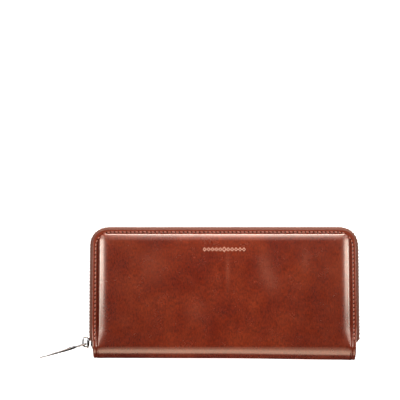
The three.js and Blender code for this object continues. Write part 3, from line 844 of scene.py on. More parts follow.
def plain_sheet(name, surface, step, inset, low_depth, high_depth, rounding):
    """A sheet that follows the wrap between two depths, with a rounded rim."""
    outline = Outline(step)
    middle = (low_depth + high_depth) / 2
    rim_turns = np.radians([15, 40, 65, 90])
    insets = [inset + rounding * (1 - math.cos(angle)) for angle in rim_turns]
    insets.append(mix(inset + rounding, CORNER, 0.5))
    sides = []
    for half in ((low_depth - high_depth) / 2, (high_depth - low_depth) / 2):
        depths = [middle + half * math.sin(angle) for angle in rim_turns] + [middle + half]
        sides.append(outline.surface(insets, depths, middle + half))
    return make_piece(name, outline.closed_sheet(*sides, len(insets)), surface)


def make_lining():
    """One cloth lining over both boards and round the inside of the spine."""
    inset = HALF_LENGTH - LINING_HIGH.x
    piece = plain_sheet("lining", LINING_SURFACE, SHEET_STEP, inset, LINING_LOW.z, LINING_HIGH.z, 0.2)
    nodes = ["back_lining", "front_lining", "back_spine_lining", "front_spine_lining"]
    return finish_fold(piece, "lining_fabric", *nodes)


def make_padding():
    """The foam under the leather: over both covers and round the spine."""
    low, high = box_mm("back_padding")
    inset = HALF_LENGTH - high.x
    piece = plain_sheet("padding", FOAM_SURFACE, SHEET_STEP, inset, low.z + 0.1, high.z, 0.5)
    nodes = ["back_padding", "front_padding", "back_spine_padding", "front_spine_padding"]
    return finish_fold(piece, "foam", *nodes)


def make_end_tab(side, sign):
    """The folded leather that fills one end of the spine and hides the ends of the zip tapes."""
    low, high = box_mm(f"back_{side}_end_tab")
    x_near, x_far = sorted((abs(low.x), abs(high.x)))
    depth = LEATHER + 0.05
    mouth_y = FOLD_Y + 0.5
    mouth_dent = 1.2
    rings = []
    # The section is drawn in a little at both ends of the tab.
    stations = [(x_near, 0.5), (x_near + 0.4, 0.05), (x_far - 1.1, 0.0), (x_far - 0.75, 0.15),
                (x_far - 0.6, 0.6)]
    for x, shrink in stations:
        ring = []
        for turn in np.radians(np.linspace(0, 180, 25)):
            skew = SPINE_SKEW * sign * x / HALF_LENGTH
            y = FOLD_Y - (SPINE_DEPTH + skew - depth - shrink) * math.sin(turn)
            z = MID_Z + (MID_Z - depth - shrink) * math.cos(turn)
            ring.append((sign * x, y, z))
        for t in np.linspace(0, 1, 9):
            reach = (MID_Z - depth - shrink) * (2 * t - 1)
            dent = mouth_dent * (1 - (2 * t - 1) ** 2)
            ring.append((sign * x, mouth_y - dent, MID_Z + reach))
        rings.append(ring)
    piece = make_piece(f"{side}_end_tab", loft(rings), LINING_LEATHER_SURFACE)
    return finish_fold(piece, "outer_leather", f"back_{side}_end_tab", f"front_{side}_end_tab")


# ---- Main zip ----
class EdgePath:
    """The line at an outward distance round the covers' leather edge: left side, top, then right side."""

    def __init__(self, start_y, outward):
        self.start_y = start_y
        self.outward = outward
        self.leg = TOP_Y - CORNER - start_y
        self.arc = (CORNER + outward) * math.pi / 2
        self.length = 2 * self.leg + 2 * self.arc + 2 * ANCHOR_X

    def at(self, run):
        """x, y and the outward direction on the leather edge, at a distance along the line."""
        centre_y = TOP_Y - CORNER
        pieces = [self.leg, self.arc, 2 * ANCHOR_X, self.arc, self.leg]
        for kind, length in enumerate(pieces):
            if run <= length or kind == 4:
                break
            run -= length
        if kind == 0:
            return -HALF_LENGTH, self.start_y + run, -1.0, 0.0
        if kind == 2:
            return -ANCHOR_X + run, TOP_Y, 0.0, 1.0
        if kind == 4:
            return HALF_LENGTH, centre_y - run, 1.0, 0.0
        side = -1 if kind == 1 else 1
        turn = run / self.arc * math.pi / 2
        angle = math.pi - turn if kind == 1 else math.pi / 2 - turn
        nx, ny = math.cos(angle), math.sin(angle)
        radius = CORNER * (abs(nx) ** RIM_SQUARENESS + abs(ny) ** RIM_SQUARENESS) ** (-1 / RIM_SQUARENESS)
        return side * ANCHOR_X + radius * nx, centre_y + radius * ny, nx, ny


def tape_section(sign):
    """The zip tape's closed section, as (outward, z, distance across the tape) points."""
    top = MID_Z - TAPE_LOW.z
    edge = MID_Z - TAPE_HIGH.z
    half = 0.28
    reach = TAPE_HIGH.x - HALF_LENGTH - half
    line = [(-TAPE_FLANGE, top - 0.25), (-2.2, top - 0.25), (-0.6, top - 0.28), (0.3, top - 0.5),
            (1.05, top - 0.95), (1.65, top - 1.6), (reach, top - 2.5), (reach, top - 3.5),
            (reach, edge + 0.8), (reach, edge)]
    line = [Vector(p) for p in line]
    across = [0.0]
    for before, point in zip(line, line[1:]):
        across.append(across[-1] + (point - before).length)
    outer, inner = both_sides(line, half)
    loop = outer + [line[-1] + Vector((0, -half))] + inner[::-1]
    distances = across + [across[-1] + half] + across[::-1]
    return [(p.x, MID_Z + sign * p.y, a) for p, a in zip(loop, distances)]


def make_zip_tape(cover, sign):
    """A woven tape sewn under the leather's border, which bulges out between the covers."""
    path = EdgePath(TAPE_LOW.y, 0)
    section = tape_section(sign)
    count = round(path.length / (TOOTH_PITCH / 2))
    rings, runs, edges = [], [], []
    # At both ends the tape's bulge is tucked in towards the end tab.
    tuck_length, tuck_share, tuck_from = 4.6, 0.9, -1.2
    ripple_height = 0.16
    for i in range(count + 1):
        run = path.length * i / count
        x, y, nx, ny = path.at(run)
        from_end = min(run, path.length - run)
        tuck = 1 - smoothstep(0, tuck_length, from_end)
        ripple = ripple_height * math.cos(math.pi * i)
        ring = []
        for outward, z, _ in section:
            reach = outward - tuck_share * tuck * max(outward - tuck_from, 0) + ripple * (outward > 0.6)
            ring.append((x + nx * reach, y + ny * reach, z))
        rings.append(ring)
        runs.extend([run] * len(section))
        edges.extend(a for _, _, a in section)
    piece = make_piece(f"{cover}_zip_tape", loft(rings), TAPE_SURFACE)
    point_attribute(piece, "run", runs)
    point_attribute(piece, "edge", edges)
    return finish_piece(piece, "zip_tape", f"{cover}_cover", f"{cover}_zip_tape")


# One tooth, as (outward, across) points: two legs that clamp the tape, and a head that meets the other row.
TOOTH_SECTION = [
    (0.45, 2.70), (1.85, 2.70), (2.05, 2.50), (2.05, 1.00), (1.86, 0.72), (1.66, 0.45), (1.60, -0.50),
    (1.42, -0.72), (0.98, -0.72), (0.80, -0.50), (0.74, 0.45), (0.54, 0.72), (0.35, 1.00), (0.35, 2.50),
]
TOOTH_MIDDLE_OUT, TOOTH_MIDDLE_ACROSS = 1.2, 1.0
TOOTH_HALF = 0.58
# The front row of teeth stands a little further out than the back one.
ZIP_LEAN = 0.2


def tooth(point_at, scale=1.0):
    """One bevelled tooth. point_at(along, outward, across) places it."""
    rings = []
    for along, shrink in [(-1.0, 0.84), (-0.78, 1.0), (0.78, 1.0), (1.0, 0.84)]:
        rings.append([
            point_at(along * TOOTH_HALF * scale,
                     mix(TOOTH_MIDDLE_OUT, o, shrink) * scale,
                     mix(TOOTH_MIDDLE_ACROSS, a, shrink) * scale)
            for o, a in TOOTH_SECTION
        ])
    return loft(rings)


def make_zip_teeth(cover, sign):
    """A row of metal teeth round three sides. The two rows are half a pitch apart and interlock."""
    path = EdgePath(TEETH_LOW.y, ZIP_STANDOFF + TOOTH_MIDDLE_OUT)
    count = int(path.length / TOOTH_PITCH - 0.5)
    start = (path.length - (count - 0.5) * TOOTH_PITCH) / 2
    offset = 0.0 if sign < 0 else TOOTH_PITCH / 2
    parts = []
    for i in range(count):
        x, y, nx, ny = path.at(start + offset + i * TOOTH_PITCH)

        def place(along, outward, across, x=x, y=y, nx=nx, ny=ny):
            outward += ZIP_STANDOFF + sign * ZIP_LEAN
            return (x + nx * outward + ny * along, y + ny * outward - nx * along, MID_Z + sign * across)

        parts.append(tooth(place))
    piece = make_piece(f"{cover}_zip_teeth", combine(parts), METAL_SURFACE, smooth=False)
    return finish_piece(piece, "zip_metal", f"{cover}_cover", f"{cover}_zip_teeth")


def rounded_block(low, high, rounding):
    """A block with softly rounded edges, between two corners."""
    centre = (Vector(low) + Vector(high)) / 2
    half = (Vector(high) - Vector(low)) / 2
    rings = []
    for level in (-1, -0.9, -0.6, 0.6, 0.9, 1):
        shrink = {1: 0.9, 0.9: 0.25, 0.6: 0.0}[abs(level)] * rounding
        ring = []
        for angle, sx, sy in corner_turns(4):
            ring.append((
                centre.x + sx * (half.x - rounding) + (rounding - shrink) * math.cos(angle),
                centre.y + sy * (half.y - rounding) + (rounding - shrink) * math.sin(angle),
                centre.z + level * half.z,
            ))
        rings.append(ring)
    return loft(rings)


def make_stop(name, node, body, rounding):
    """A block of metal past the last tooth of a zip."""
    piece = make_piece(name, rounded_block(*box_mm(node), rounding), METAL_SURFACE)
    return finish_piece(piece, "zip_metal", body, node)


# ---- Main slider and pull ----
Y_AXIS = Vector((0, 1, 0))
Z_AXIS = Vector((0, 0, 1))


def joint_point(name):
    """A joint's pivot, in millimetres."""
    for joint in frame["joints"]:
        if joint["name"] == name:
            return Vector(joint["pos_m"]) / MM
    raise ValueError(name)


PULL_PIVOT = joint_point("main_pull_swing")
SLIDER_Y = PULL_PIVOT.y + 0.6
PIVOT_OUT = -HALF_LENGTH - PULL_PIVOT.x - ZIP_STANDOFF
CHAIN_OUT = 2.4
PLATE = 0.8


def zip_to_world(along, outward, across):
    """A point in the main slider's own frame: along the zip, outward from the teeth's foot and across it."""
    return (-HALF_LENGTH - ZIP_STANDOFF - outward, SLIDER_Y + along, MID_Z + across)


def zip_block(start, end, rounding):
    """A rounded block between two corners in the main slider's own frame."""
    corners = [zip_to_world(*start), zip_to_world(*end)]
    low = [min(pair) for pair in zip(*corners)]
    high = [max(pair) for pair in zip(*corners)]
    return rounded_block(low, high, rounding)


def plate_rings(half_length, half_width, levels, nose=1.0, corner=1.7, place=zip_to_world):
    """Rings of a rounded plate, narrower at its nose. levels are (outward, shrink) pairs."""
    rings = []
    for outward, shrink in levels:
        ring = []
        for angle, sx, sy in corner_turns(5):
            taper = nose if sx < 0 else 0.25
            along = sx * (half_length - corner) + (corner - shrink) * math.cos(angle)
            across = sy * (half_width - corner - taper) + (corner - shrink) * math.sin(angle)
            ring.append(place(along, outward, across))
        rings.append(ring)
    return rings


def smooth_path(points, count):
    """Points evenly along a smooth curve through the given ones."""
    points = [Vector(p) for p in points]
    ends = [points[0] * 2 - points[1]] + points + [points[-1] * 2 - points[-2]]
    result = []
    spans = len(points) - 1
    for k in range(count + 1):
        place = k / count * spans
        i = min(int(place), spans - 1)
        t = place - i
        a, b, c, d = ends[i:i + 4]
        result.append(0.5 * ((2 * b) + (c - a) * t + (2 * a - 5 * b + 4 * c - d) * t ** 2
                             + (3 * b - a - 3 * c + d) * t ** 3))
    return result


def make_main_slider():
    """Two rounded plates with guide lips round the teeth, a web between them and a bail for the pull."""
    half_length, half_width = 4.0, 4.0
    top = CHAIN_OUT + PLATE
    outer = plate_rings(half_length, half_width, [
        (CHAIN_OUT, 0.35), (CHAIN_OUT + 0.1, 0.08), (CHAIN_OUT + 0.25, 0.0), (top - 0.3, 0.0),
        (top - 0.1, 0.12), (top + 0.02, 0.5), (top + 0.12, 1.2),
    ])
    inner = plate_rings(half_length, half_width, [
        (-1.05, 0.5), (-0.98, 0.15), (-0.85, 0.0), (-0.2, 0.0), (-0.05, 0.2),
    ])
    parts = [loft(outer), loft(inner)]
    for side in (-1, 1):
        for low_out, high_out in ((1.85, CHAIN_OUT + 0.15), (-0.2, 0.55)):
            parts.append(zip_block((-2.4, low_out, side * 3.05), (2.6, high_out, side * 3.95), 0.25))
    parts.append(zip_block((1.5, -0.2, -0.5), (3.7, CHAIN_OUT + 0.1, 0.5), 0.3))
    hook_x, hook_radius, rod = -0.6, 2.15, 0.62
    crest = PIVOT_OUT + hook_radius
    line = [(4.1, top - 0.3), (4.12, top + 0.6), (4.0, crest - 0.9), (3.3, crest - 0.15), (1.5, crest),
            (hook_x, crest)]
    for turn in np.radians([112.5, 135, 157.5, 180]):
        line.append((hook_x + hook_radius * math.cos(turn), PIVOT_OUT + hook_radius * math.sin(turn)))
    line.append((hook_x - hook_radius, top - 0.3))
    path = smooth_path([zip_to_world(a, o, 0) for a, o in line], 44)
    parts.append(loft(tube_rings(path, Z_AXIS, rod, 1.15 * rod)))
    piece = make_piece("zip_slider", combine(parts), NICKEL_SURFACE)
    return finish_piece(piece, "nickel", "main_slider", "main_zip_slider")


PULL_ANGLE = math.radians(196.6)
PULL_ROLL = math.radians(5)
PULL_FRAME = (
    Matrix.Translation(PULL_PIVOT) @ Matrix.Rotation(PULL_ANGLE, 4, "Z") @ Matrix.Rotation(PULL_ROLL, 4, "X")
)
PULL_LENGTH = 35.2
EYE_LENGTH = 4.1
NECK_END = 7.5
BLADE_WIDE_AT = 11.5
BLADE_HALF = 4.6


def blade_half_width(x):
    """Half the pull's width, from the neck, over the widest place, to the tip."""
    if x < BLADE_WIDE_AT:
        t = (x - NECK_END) / (BLADE_WIDE_AT - NECK_END)
        return mix(1.25, BLADE_HALF, math.sin(max(t, 0) * math.pi / 2) ** 1.2) if t > 0 else 1.25
    t = (x - BLADE_WIDE_AT) / (PULL_LENGTH - BLADE_WIDE_AT)
    return max(BLADE_HALF * (1 - t ** 1.25) ** 0.9, 0.9)


def make_main_pull():
    """A long leaf-shaped pull: an eye round the bail, a slim neck and a blade with a domed face."""
    rings = []
    stations = [EYE_LENGTH + 0.2, 5.2, 6.4, 7.2, 7.6, 8.0, 8.6, 9.4, 10.3, 11.5, 13.5, 16.5, 20, 24, 28, 31,
                33, 34.3, 35.0]
    rim = 0.58
    for x in stations:
        half = blade_half_width(x)
        thin = 1.0 if x < PULL_LENGTH - 0.4 else 0.6
        dome = 0.35 * min(1, max(0, (x - 7.0) / 4.5)) * min(1, max(0, (PULL_LENGTH - x) / 20)) ** 0.8
        bevel_width = min(0.2, half * 0.3)
        front = [(t * (half - bevel_width), rim + dome * (1 - t * t)) for t in np.linspace(1, -1, 11)]
        back = [(t * (half - bevel_width), -rim) for t in np.linspace(-1, 1, 7)]
        side_low, side_high = bevel_width - rim, rim - bevel_width
        section = [(half, side_high)] + front + [(-half, side_high), (-half, side_low)]
        section += back + [(half, side_low)]
        rings.append([PULL_FRAME @ Vector((x, level * thin, across)) for across, level in section])
    blade = loft(rings)
    half = 1.85
    upper = [(EYE_LENGTH + 0.5, 0.8), (EYE_LENGTH - 0.2, half), (2.2, half), (0.9, half), (0.1, half - 0.45)]
    loop = upper + [(0.0, 0.0)] + [(x, -z) for x, z in upper[::-1]]
    path = smooth_path([(x, 0, z) for x, z in loop], 40)
    eye = [[PULL_FRAME @ point for point in ring] for ring in tube_rings(path, Y_AXIS, 0.55, 0.6)]
    heel_stations = [(EYE_LENGTH - 0.2, 1.5, 0.45), (EYE_LENGTH + 0.2, 1.9, 0.6),
                     (EYE_LENGTH + 0.9, 1.6, 0.62), (EYE_LENGTH + 1.8, 1.3, 0.55)]
    heel = []
    for x, half_width, half_height in heel_stations:
        heel.append([
            PULL_FRAME @ Vector((x, half_height * math.sin(a), half_width * math.cos(a)))
            for a in turn_steps(16)
        ])
    piece = make_piece("zip_pull", combine([blade, loft(eye), loft(heel)]), NICKEL_SURFACE)
    return finish_piece(piece, "nickel", "main_pull", "main_zip_pull")


# ---- Foil ornament ----
def make_ornament():
    """A generic stamped pattern near the opening edge: a row of open lozenges with dots between them."""
    centre_y = FOLD_Y + 0.826 * (TOP_Y - FOLD_Y)
    bottom, top = THICKNESS - 0.14, THICKNESS + 0.03
    pitch = 2.85

    def ring(x, outline, z):
        return [(x + px, centre_y + py, z) for px, py in outline]

    def lozenge(half_x, half_y):
        return [(half_x, 0), (0, half_y), (-half_x, 0), (0, -half_y)]

    parts = []
    for step in range(-5, 6):
        size = 1.3 if step == 0 else 1.0
        outer, inner = lozenge(1.25 * size, 1.6 * size), lozenge(0.7 * size, 0.95 * size)
        section = [(outer, bottom), (outer, top), (inner, top), (inner, bottom), (outer, bottom)]
        parts.append(loft([ring(step * pitch, outline, z) for outline, z in section], capped=False))
    dot = [(0.26 * math.cos(a), 0.26 * math.sin(a)) for a in turn_steps(12)]
    for step in range(-5, 5):
        parts.append(loft([ring((step + 0.5) * pitch, dot, z) for z in (bottom, top)]))
    piece = make_piece("foil_ornament", combine(parts), FOIL_SURFACE, smooth=False)
    return finish_piece(piece, "outer_leather", "front_cover")


# ---- Card pockets ----
def sheet_grid(xs, ys, place):
    """A closed thin sheet over a grid. place(x, y, side) gives the point on either side."""
    across, down = len(xs), len(ys)
    points = [place(x, y, side) for side in (0, 1) for y in ys for x in xs]
    faces = []
    for side in (0, 1):
        first = side * across * down
        for j in range(down - 1):
            for i in range(across - 1):
                a = first + j * across + i
                faces.append((a, a + 1, a + across + 1, a + across))
    rim = list(range(across))
    rim += [j * across + across - 1 for j in range(1, down)]
    rim += [(down - 1) * across + i for i in range(across - 2, -1, -1)]
    rim += [j * across for j in range(down - 2, 0, -1)]
    other = across * down
    for a, b in zip(rim, rim[1:] + rim[:1]):
        faces.append((a, b, other + b, other + a))
    return points, faces


POCKET_HEM = 3.9
HEM_RISE = 0.28
# The pressed line under the hem's edge, by its distance from the top edge.
CREASE_FROM, CREASE_TO, CREASE_DEPTH = 1.6, 2.3, 0.14
# Rows of a pocket's mesh by their distance from its top edge: close together over the hem and its crease.
HEM_ROWS = np.array([5, 4.2, 3.6, 2.6, 2.1, 1.8, 1.5, 0.8, 0.3, 0.0])


def make_card_pocket(cover, number, sign):
    """A thin leather pocket with a turned, creased top edge that dips a little in each column."""
    node = f"{cover}_card_pocket_{number}"
    low, high = box_mm(node)
    near_z, far_z = (low.z, high.z) if sign < 0 else (high.z, low.z)
    inwards = -sign
    xs = np.linspace(low.x, high.x, 73)
    ys = np.concatenate([np.linspace(low.y, high.y - 6, 8), high.y - HEM_ROWS])

    def place(x, y, side):
        from_top = high.y - y
        column = abs(math.sin(math.pi * x / high.x))
        dip = 0.5 * column * math.exp(-from_top / 5)
        z = near_z if side == 0 else far_z
        if side == 1 and from_top < POCKET_HEM:
            z += inwards * HEM_RISE
        if side == 1 and CREASE_FROM < from_top < CREASE_TO:
            z -= inwards * CREASE_DEPTH
        if from_top < 0.2:
            z = mix(near_z, far_z + inwards * HEM_RISE, 0.3 if side == 0 else 0.75)
        swell = inwards * 0.06 * column
        return (x, y - dip, z + (swell if side == 1 else 0))

    piece = make_piece(f"{cover}_pocket_{number}", sheet_grid(xs, ys, place), LINING_LEATHER_SURFACE)
    return finish_piece(piece, "lining_leather", f"{cover}_cover", node)


def make_pocket_stitches(cover, sign):
    """The seam between the two columns of card pockets, and a seam at each end."""
    pitch = 2.6
    seam_inset = 1.6
    inwards = -sign
    parts = []
    low, high = box_mm(f"{cover}_card_pocket_1")
    for x in (0.0, high.x - seam_inset, seam_inset - high.x):
        for step in range(int((high.y - low.y - 3) / pitch)):
            y = high.y - 1.2 - step * pitch
            for number in (1, 2, 3, 4):
                pocket_low, pocket_high = box_mm(f"{cover}_card_pocket_{number}")
                if y - pitch < pocket_high.y - 0.6:
                    front = pocket_low.z if inwards < 0 else pocket_high.z
                    hem = HEM_RISE if y > pocket_high.y - POCKET_HEM else 0.0
            z = front + inwards * (hem + 0.05)
            start, end = (x, y - 0.15, z), (x, y - pitch + 0.25, z)
            parts.append(capsule(start, end, (0, 0, inwards), 0.22, 0.12, sides=6))
    piece = make_piece(f"{cover}_pocket_stitches", combine(parts), THREAD_SURFACE)
    return finish_piece(piece, "lining_leather", f"{cover}_cover")


# ---- Coin pocket ----
COIN_LOW, COIN_HIGH = box_mm("coin_pocket_back_wall")
COIN_WALL = COIN_HIGH.z - COIN_LOW.z


def make_coin_pouch():
    """The coin pocket's pouch: one piece of leather folded at the bottom and closed at both ends."""
    half = MID_Z - COIN_LOW.z
    rings = []
    for x in np.linspace(-COIN_HIGH.x, COIN_HIGH.x, 61):
        belly = 0.35 * (1 - (x / COIN_HIGH.x) ** 6)
        heights = np.linspace(COIN_LOW.y + half, COIN_HIGH.y, 12)
        outer, inner = [], []
        for y in heights[::-1]:
            t = (y - COIN_LOW.y) / (COIN_HIGH.y - COIN_LOW.y)
            swell = belly * math.sin(math.pi * t) ** 2
            hem = 0.12 if y > COIN_HIGH.y - 3 else 0.0
            outer.append((y, half + swell + hem))
            inner.append((y, half - COIN_WALL + swell))
        bottom_turn = np.radians(np.linspace(0, 180, 11))[1:-1]
        outer_arc = [(COIN_LOW.y + half - half * math.sin(a), half * math.cos(a)) for a in bottom_turn]
        reach = half - COIN_WALL
        inner_arc = [(COIN_LOW.y + half - reach * math.sin(a), reach * math.cos(a)) for a in bottom_turn]
        outer_loop = outer + outer_arc + [(y, -h) for y, h in outer[::-1]]
        inner_loop = inner + inner_arc + [(y, -h) for y, h in inner[::-1]]
        rings.append([(x, y, MID_Z + z) for y, z in outer_loop + inner_loop[::-1]])
    parts = [loft(rings)]
    for sign in (-1, 1):
        x_far = sign * COIN_HIGH.x
        x_near = sign * (COIN_HIGH.x - COIN_WALL)
        low = (min(x_far, x_near), COIN_LOW.y + 1.5, MID_Z - half + 0.3)
        high = (max(x_far, x_near), COIN_HIGH.y - 0.2, MID_Z + half - 0.3)
        parts.append(rounded_block(low, high, 0.2))
    piece = make_piece("coin_pouch", combine(parts), LINING_LEATHER_SURFACE)
    walls = ("back_wall", "front_wall", "bottom", "left_side", "right_side")
    nodes = [f"coin_pocket_{wall}" for wall in walls]
    return finish_piece(piece, "lining_leather", "coin_pocket", *nodes)


COIN_ZIP_SCALE = 0.72


def make_coin_zip():
    """The coin pocket's zip: two tapes, two rows of small teeth and a stop at each end."""
    pitch = TOOTH_PITCH * COIN_ZIP_SCALE
    for cover, sign in (("back", -1), ("front", 1)):
        low, high = box_mm(f"coin_zip_{cover}_tape")
        xs = np.linspace(low.x, high.x, 121)
        ys = np.linspace(low.y, high.y, 13)

        def place(x, y, side, low=low, high=high):
            ripple = 0.04 * math.cos(2 * math.pi * x / pitch) * (y > high.y - 1.5)
            return (x, y, (low.z if side == 0 else high.z) + ripple)

        tape = make_piece(f"coin_{cover}_tape", sheet_grid(xs, ys, place), TAPE_SURFACE)
        co = np.array([v.co for v in tape.data.vertices]) / MM
        point_attribute(tape, "run", co[:, 0])
        point_attribute(tape, "edge", co[:, 1])
        finish_piece(tape, "zip_tape", "coin_pocket", f"coin_zip_{cover}_tape")

        low, high = box_mm(f"coin_zip_{cover}_teeth")
        count = int((high.x - low.x) / pitch)
        offset = 0 if sign < 0 else pitch / 2
        parts = []
        for i in range(count):
            x = low.x + pitch / 2 + i * pitch + offset

            def place_tooth(along, outward, across, x=x, low=low, sign=sign):
                return (x + along, low.y - 0.2 + outward, MID_Z + sign * across)

            parts.append(tooth(place_tooth, COIN_ZIP_SCALE))
        teeth = make_piece(f"coin_{cover}_teeth", combine(parts), METAL_SURFACE, smooth=False)
        finish_piece(teeth, "zip_metal", "coin_pocket", f"coin_zip_{cover}_teeth")
    for side in ("left", "right"):
        make_stop(f"coin_{side}_stop", f"coin_zip_{side}_stop", "coin_pocket", 0.35)


def make_coin_slider():
    """A small slider, with its bail."""
    low, high = box_mm("coin_zip_slider")
    pivot = joint_point("coin_pull_swing")
    centre_x = (low.x + high.x) / 2
    half_length, half_width = (high.x - low.x) / 2, (high.z - low.z) / 2
    plate_top = pivot.y - 0.65

    def place(along, outward, across):
        return (centre_x + along, outward, MID_Z + across)

    def block(start, end, rounding):
        return rounded_block(place(*start), place(*end), rounding)

    levels = [(-0.7, 0.25), (-0.6, 0.0), (-0.15, 0.0), (0.0, 0.2), (0.06, 0.6)]
    levels = [(plate_top + rise, shrink) for rise, shrink in levels]
    parts = [loft(plate_rings(half_length, half_width, levels, nose=0.5, corner=0.9, place=place))]
    for side in (-1, 1):
        near, far = sorted((side * (half_width - 0.5), side * half_width))
        parts.append(block((-1.6, plate_top - 2.0, near), (1.8, plate_top - 0.5, far), 0.15))
    parts.append(block((half_length - 1.6, low.y, -0.3), (half_length, plate_top - 0.3, 0.3), 0.12))
    parts.append(block((-half_length, low.y, -1.2), (half_length, low.y + 0.7, 1.2), 0.2))
    bail_half, rod = 1.4, 0.42
    line = [(bail_half, plate_top - 0.2), (bail_half, pivot.y)]
    for turn in np.radians([30, 60, 90, 120, 150]):
        line.append((bail_half * math.cos(turn), pivot.y + bail_half * math.sin(turn)))
    line += [(-bail_half, pivot.y), (-bail_half, plate_top - 0.2)]
    path = smooth_path([(centre_x + a, o, MID_Z) for a, o in line], 32)
    parts.append(loft(tube_rings(path, Z_AXIS, rod, rod, sides=10)))
    piece = make_piece("coin_slider", combine(parts), NICKEL_SURFACE)
    return finish_piece(piece, "nickel", "coin_slider", "coin_zip_slider")


def make_coin_pull():
    """A small drop-shaped pull."""
    pivot = joint_point("coin_pull_swing")
    length = box_mm("coin_zip_pull")[1].x - pivot.x
    rings = []
    for t in (0.2, 0.26, 0.32, 0.4, 0.55, 0.7, 0.82, 0.91, 0.97, 1.0):
        x = pivot.x + length * t
        tip = math.sqrt(max(1 - smoothstep(0.86, 1.04, t), 0.05))
        half = mix(0.75, 2.15, smoothstep(0.28, 0.8, t)) * tip
        thick = 0.36 if t < 0.99 else 0.36 * 0.4
        rings.append([
            (x, pivot.y + thick * math.sin(a), MID_Z + half * math.cos(a)) for a in turn_steps(16)
        ])
    upper = [(2.7, 0.6), (2.2, 1.15), (1.2, 1.15), (0.3, 1.0), (0.0, 0.4)]
    loop = upper + [(x, -z) for x, z in upper[::-1]]
    path = smooth_path([(pivot.x + x, pivot.y, MID_Z + z) for x, z in loop], 32)
    eye = tube_rings(path, Y_AXIS, 0.35, 0.35, sides=10)
    piece = make_piece("coin_pull", combine([loft(rings), loft(eye)]), NICKEL_SURFACE)
    return finish_piece(piece, "nickel", "coin_pull", "coin_zip_pull")


# ---- Gussets ----
def make_gusset(side, sign):
    """A pleated leather side wall between the covers, with a deep pleat on each side of the coin pocket."""
    low, high = box_mm(f"{side}_back_gusset")
    outer_x, inner_x = max(abs(low.x), abs(high.x)), min(abs(low.x), abs(high.x))
    shoulder = COIN_HIGH.x + 0.75
    pleat_low = box_mm("back_card_pocket_4")[1].z + 0.35
    pleat_high = high.z - 0.25
    middle = (pleat_low + pleat_high) / 2
    line = [(outer_x - 0.2, low.z + 0.15), (outer_x - 0.5, low.z + 0.7), (shoulder + 1.0, pleat_low - 0.7),
            (shoulder - 0.6, pleat_low), (inner_x + 4, pleat_low + 0.1), (inner_x + 0.8, middle - 0.25),
            (inner_x + 0.3, middle), (inner_x + 0.8, middle + 0.25), (inner_x + 4, pleat_high - 0.1),
            (shoulder - 0.6, pleat_high), (shoulder + 0.5, pleat_high + 0.35),
            (shoulder + 0.9, pleat_high + 1.2)]
    mirrored = [(x, THICKNESS - z) for x, z in line[::-1]]
    line = [Vector(p) for p in line + [(shoulder + 1.0, MID_Z)] + mirrored]
    left, right = both_sides(line, 0.14)
    section = right + left[::-1]
    rings = []
    for y in np.linspace(low.y, high.y, 25):
        rings.append([(sign * p.x, y, p.y) for p in section])
    piece = make_piece(f"{side}_gusset", loft(rings), LINING_LEATHER_SURFACE)
    developed = sum((b - a).length for a, b in zip(line, line[1:]))
    return finish_fold(piece, "lining_leather", f"{side}_back_gusset", f"{side}_front_gusset")


# ---- The wallet ----
def build_wallet():
    make_outer_leather()
    make_lining()
    make_padding()
    for node in ("back_board", "front_board"):
        board = frame["nodes"][node]
        board.data.materials.clear()
        board.data.materials.append(BOARD_SURFACE)
    for cover, sign in (("back", -1), ("front", 1)):
        make_cover_stitches(cover, sign)
        make_zip_tape(cover, sign)
        make_zip_teeth(cover, sign)
        for number in (1, 2, 3, 4):
            make_card_pocket(cover, number, sign)
        make_pocket_stitches(cover, sign)
    for side, sign in (("left", -1), ("right", 1)):
        make_end_tab(side, sign)
        make_gusset(side, sign)
    for cover in ("back", "front"):
        make_stop(f"{cover}_stop", f"{cover}_zip_stop", f"{cover}_cover", 0.4)
    make_main_slider()
    make_main_pull()
    make_ornament()
    make_coin_pouch()
    make_coin_zip()
    make_coin_slider()
    make_coin_pull()


# ---- Studio, in metres ----
# The lamps are aimed at points at this height.
AIM_Z = 0.02


def add_softbox(name, azimuth, zenith, distance, size, radiance, centre, warmth=0.0):
    """A rectangular light that faces the wallet.

    azimuth is the direction that it stands in, from +X towards +Y, and zenith its angle from straight up.
    size is its extent along the horizon and up the sky, in metres.
    """
    azimuth, zenith = math.radians(azimuth), math.radians(zenith)
    level = math.sin(zenith)
    away = Vector((math.cos(azimuth) * level, math.sin(azimuth) * level, math.cos(zenith)))
    light = bpy.data.lights.new(name, "AREA")
    light.shape = "RECTANGLE"
    light.size, light.size_y = size
    light.energy = radiance * math.pi * size[0] * size[1]
    light.color = (1, 1 - 0.45 * warmth, 1 - 0.75 * warmth)
    lamp = bpy.data.objects.new(name, light)
    lamp.location = Vector(centre) + away * distance
    lamp.rotation_euler = away.to_track_quat("Z", "Y").to_euler()
    lamp.visible_camera = False
    bpy.context.scene.collection.objects.link(lamp)
    return lamp


def stage_mesh(name, points, faces, emission):
    """A white studio surface, bright enough to read as white."""
    mesh = bpy.data.meshes.new(name)
    mesh.from_pydata(points, [], faces)
    shader = Shader(f"studio_{name}")
    shader.paint("Base Color", shader.noise(0.002, detail=1), [(0.3, 0.8), (0.7, 0.82)])
    shader.set(Roughness=0.9, Emission_Color=(1, 1, 1, 1), Emission_Strength=emission)
    mesh.materials.append(shader.material)
    surface = bpy.data.objects.new(name, mesh)
    bpy.context.scene.collection.objects.link(surface)
    return surface


